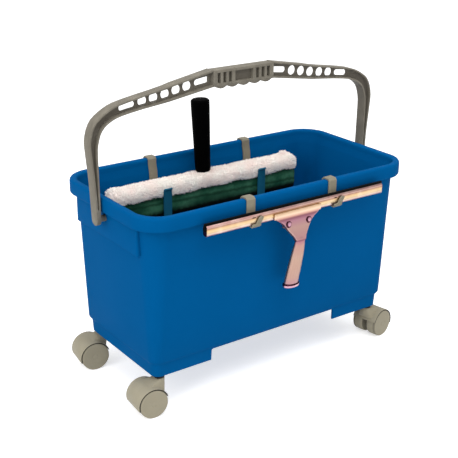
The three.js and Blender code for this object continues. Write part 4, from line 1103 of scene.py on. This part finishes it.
def fleece_ring(share):
    """The points round the fleece at a share of its length."""
    x = fleece_low.x + 0.002 + share * (fleece_high.x - fleece_low.x - 0.004)
    drawn = max(end_draw(share, 0.05), 0.02)
    half = (PILE_HALF + 0.0008 * noise.noise(Vector((x * 14, 0, 3)))) * (0.35 + 0.65 * drawn)
    top = fleece_high.z - 0.0025 + 0.0012 * noise.noise(Vector((x * 18, 2, 0)))
    top += END_RISE * bump(share - END_PLACE, END_REACH)
    low = SLEEVE_SPLIT - 0.003 + 0.003 * noise.noise(Vector((x * 30, 5, 1)))
    middle, rise = (top + low) / 2, (top - low) / 2 * (0.3 + 0.7 * drawn)
    foot = FOOT_SWELL * bump(x - grip_middle.x, FOOT_SPREAD)
    ring = []
    for angle in ring_angles:
        across, up = math.cos(angle), math.sin(angle)
        y = SLEEVE_MIDDLE + half * boxed(across, 0.62)
        z = middle + rise * boxed(up, 0.75)
        furrow = bump(y - SLEEVE_MIDDLE + FURROW_ASIDE, FURROW_REACH) if up > 0 else 0
        z += foot * min(1, max(0, -1.6 * across)) * min(1, max(0, 2 * up)) - FURROW_DEPTH * furrow * drawn
        push = PILE_LUMP * noise.fractal(Vector((x * 60, y * 60, z * 60)), 1.0, 2.0, 3)
        ring.append((x + push * 0.5 * across, y + push * across, z + push * up))
    return ring


fleece = loft("fleece_sleeve", fleece_ring)
smooth(fleece, 80)

# %% Tufts of pile
TUFTS, FRINGE_TUFTS = 17000, 2600
COMBED = Vector((0.25, 0, -0.35))
ROOT_DEPTH, KNEE_SHARE, KNEE_WIDTH = 0.6 * MM, 0.55, 0.75
THIRDS = [k * math.tau / 3 for k in range(3)]
pile_seed = random.Random(7)


def any_way():
    """A random vector in a cube round the middle."""
    return Vector([pile_seed.uniform(-1, 1) for _ in range(3)])


def tufted(piece, count, length, width, keep):
    """Adds small three sided bent tufts on the faces of a piece that a test keeps."""
    faces = [f for f in piece.data.polygons if keep(f.center, f.normal)]
    points, shapes = [], []
    for face in pile_seed.choices(faces, weights=[f.area for f in faces], k=count):
        corners = [piece.data.vertices[i].co for i in face.vertices]
        u, v = pile_seed.random(), pile_seed.random()
        root = face.center.copy()
        if len(corners) == 4:
            root = corners[0].lerp(corners[1], u).lerp(corners[3].lerp(corners[2], u), v)
        out = (face.normal + 0.6 * any_way() + COMBED).normalized()
        side = out.orthogonal().normalized()
        other = out.cross(side)
        reach = length * pile_seed.uniform(0.6, 1.15)
        turn = pile_seed.uniform(0, math.tau)
        bent = (out + 0.5 * any_way()).normalized()
        knee = root + KNEE_SHARE * reach * out
        first = len(points)
        for centre, breadth in ((root - ROOT_DEPTH * out, width), (knee, KNEE_WIDTH * width)):
            for third in THIRDS:
                spoke = math.cos(turn + third) * side + math.sin(turn + third) * other
                points.append(centre + breadth * spoke)
        points.append(knee + (1 - KNEE_SHARE) * reach * bent)
        shapes.append((first, first + 2, first + 1))
        for k in range(3):
            a, b = first + k, first + (k + 1) % 3
            shapes += [(a, b, b + 3, a + 3), (a + 3, b + 3, first + 6)]
    mesh = bpy.data.meshes.new("tufts")
    mesh.from_pydata(points, [], shapes)
    tufts = new_piece("tufts", mesh)
    only(piece)
    tufts.select_set(True)
    bpy.ops.object.join()


tufted(fleece, TUFTS, 3.8 * MM, 0.8 * MM, lambda centre, normal: normal.z > -0.75)
smooth(fleece, 80)
dressed(fleece, fleece_white, "fleece_white", "washer_fleece")

# %% Scrub cloth
CLOTH_HALF, CLOTH_BELLY, FRINGE_HEIGHT = 16 * MM, 0.18, 9 * MM
FOLD_DEPTH, CREASE_DEPTH = 0.7 * MM, 0.8 * MM


def cloth_ring(share):
    """The points round the scrub cloth at a share of its length."""
    x = cloth_low.x + 0.006 + share * (cloth_high.x - cloth_low.x - 0.009)
    drawn = max(end_draw(share, 0.03, 3.5), 0.05)
    half = (CLOTH_HALF + 0.0006 * noise.noise(Vector((x * 9, 7, 0)))) * (0.4 + 0.6 * drawn)
    low = cloth_low.z + 0.0012 + 0.0012 * noise.noise(Vector((x * 11, 1, 9))) + 0.004 * (1 - drawn)
    top = SLEEVE_SPLIT + 0.003
    ring = []
    for angle in ring_angles:
        across, up = math.cos(angle), math.sin(angle)
        z = (top + low) / 2 + (top - low) / 2 * boxed(up, 0.7)
        belly = 1 - CLOTH_BELLY * ((z - low) / (top - low) - 0.45) ** 2
        y = SLEEVE_MIDDLE + half * belly * boxed(across, 0.42)
        fold = noise.fractal(Vector((x * 22, y * 30, z * 34)), 1.0, 2.1, 2)
        sunk = bump(z + CREASE_FALL * x - CREASE_HEIGHT, CREASE_WIDTH)
        y += (FOLD_DEPTH * fold - CREASE_DEPTH * sunk) * across
        ring.append((x, y, z))
    return ring


cloth = loft("scrub_sleeve", cloth_ring)
fringe_top = cloth_low.z + FRINGE_HEIGHT
tufted(cloth, FRINGE_TUFTS, 2.2 * MM, 0.4 * MM, lambda centre, normal: centre.z < fringe_top)
smooth(cloth, 60)
dressed(cloth, scrub_green, "scrub_green", "washer_scrub_cloth")

# %% Bar and grip
bar = rounded(node_copy("washer_bar", "washer_bar_moulding"), 0.5 * MM, angle=35)
dressed(bar, grip_black, "grip_black", "washer_bar")
grip = rounded(node_copy("washer_grip", "washer_grip_moulding"), 0.5 * MM, angle=35, shade=45)
GRIP_LEAN = math.radians(-2.2)
lean = Matrix.Rotation(GRIP_LEAN, 4, Vector((-back.x, -back.y, 0)))
grip.matrix_world = Matrix.Translation(grip_middle) @ lean @ Matrix.Translation(-grip_middle)
apply_place(grip)
dressed(grip, grip_black, "grip_black", "washer_grip")
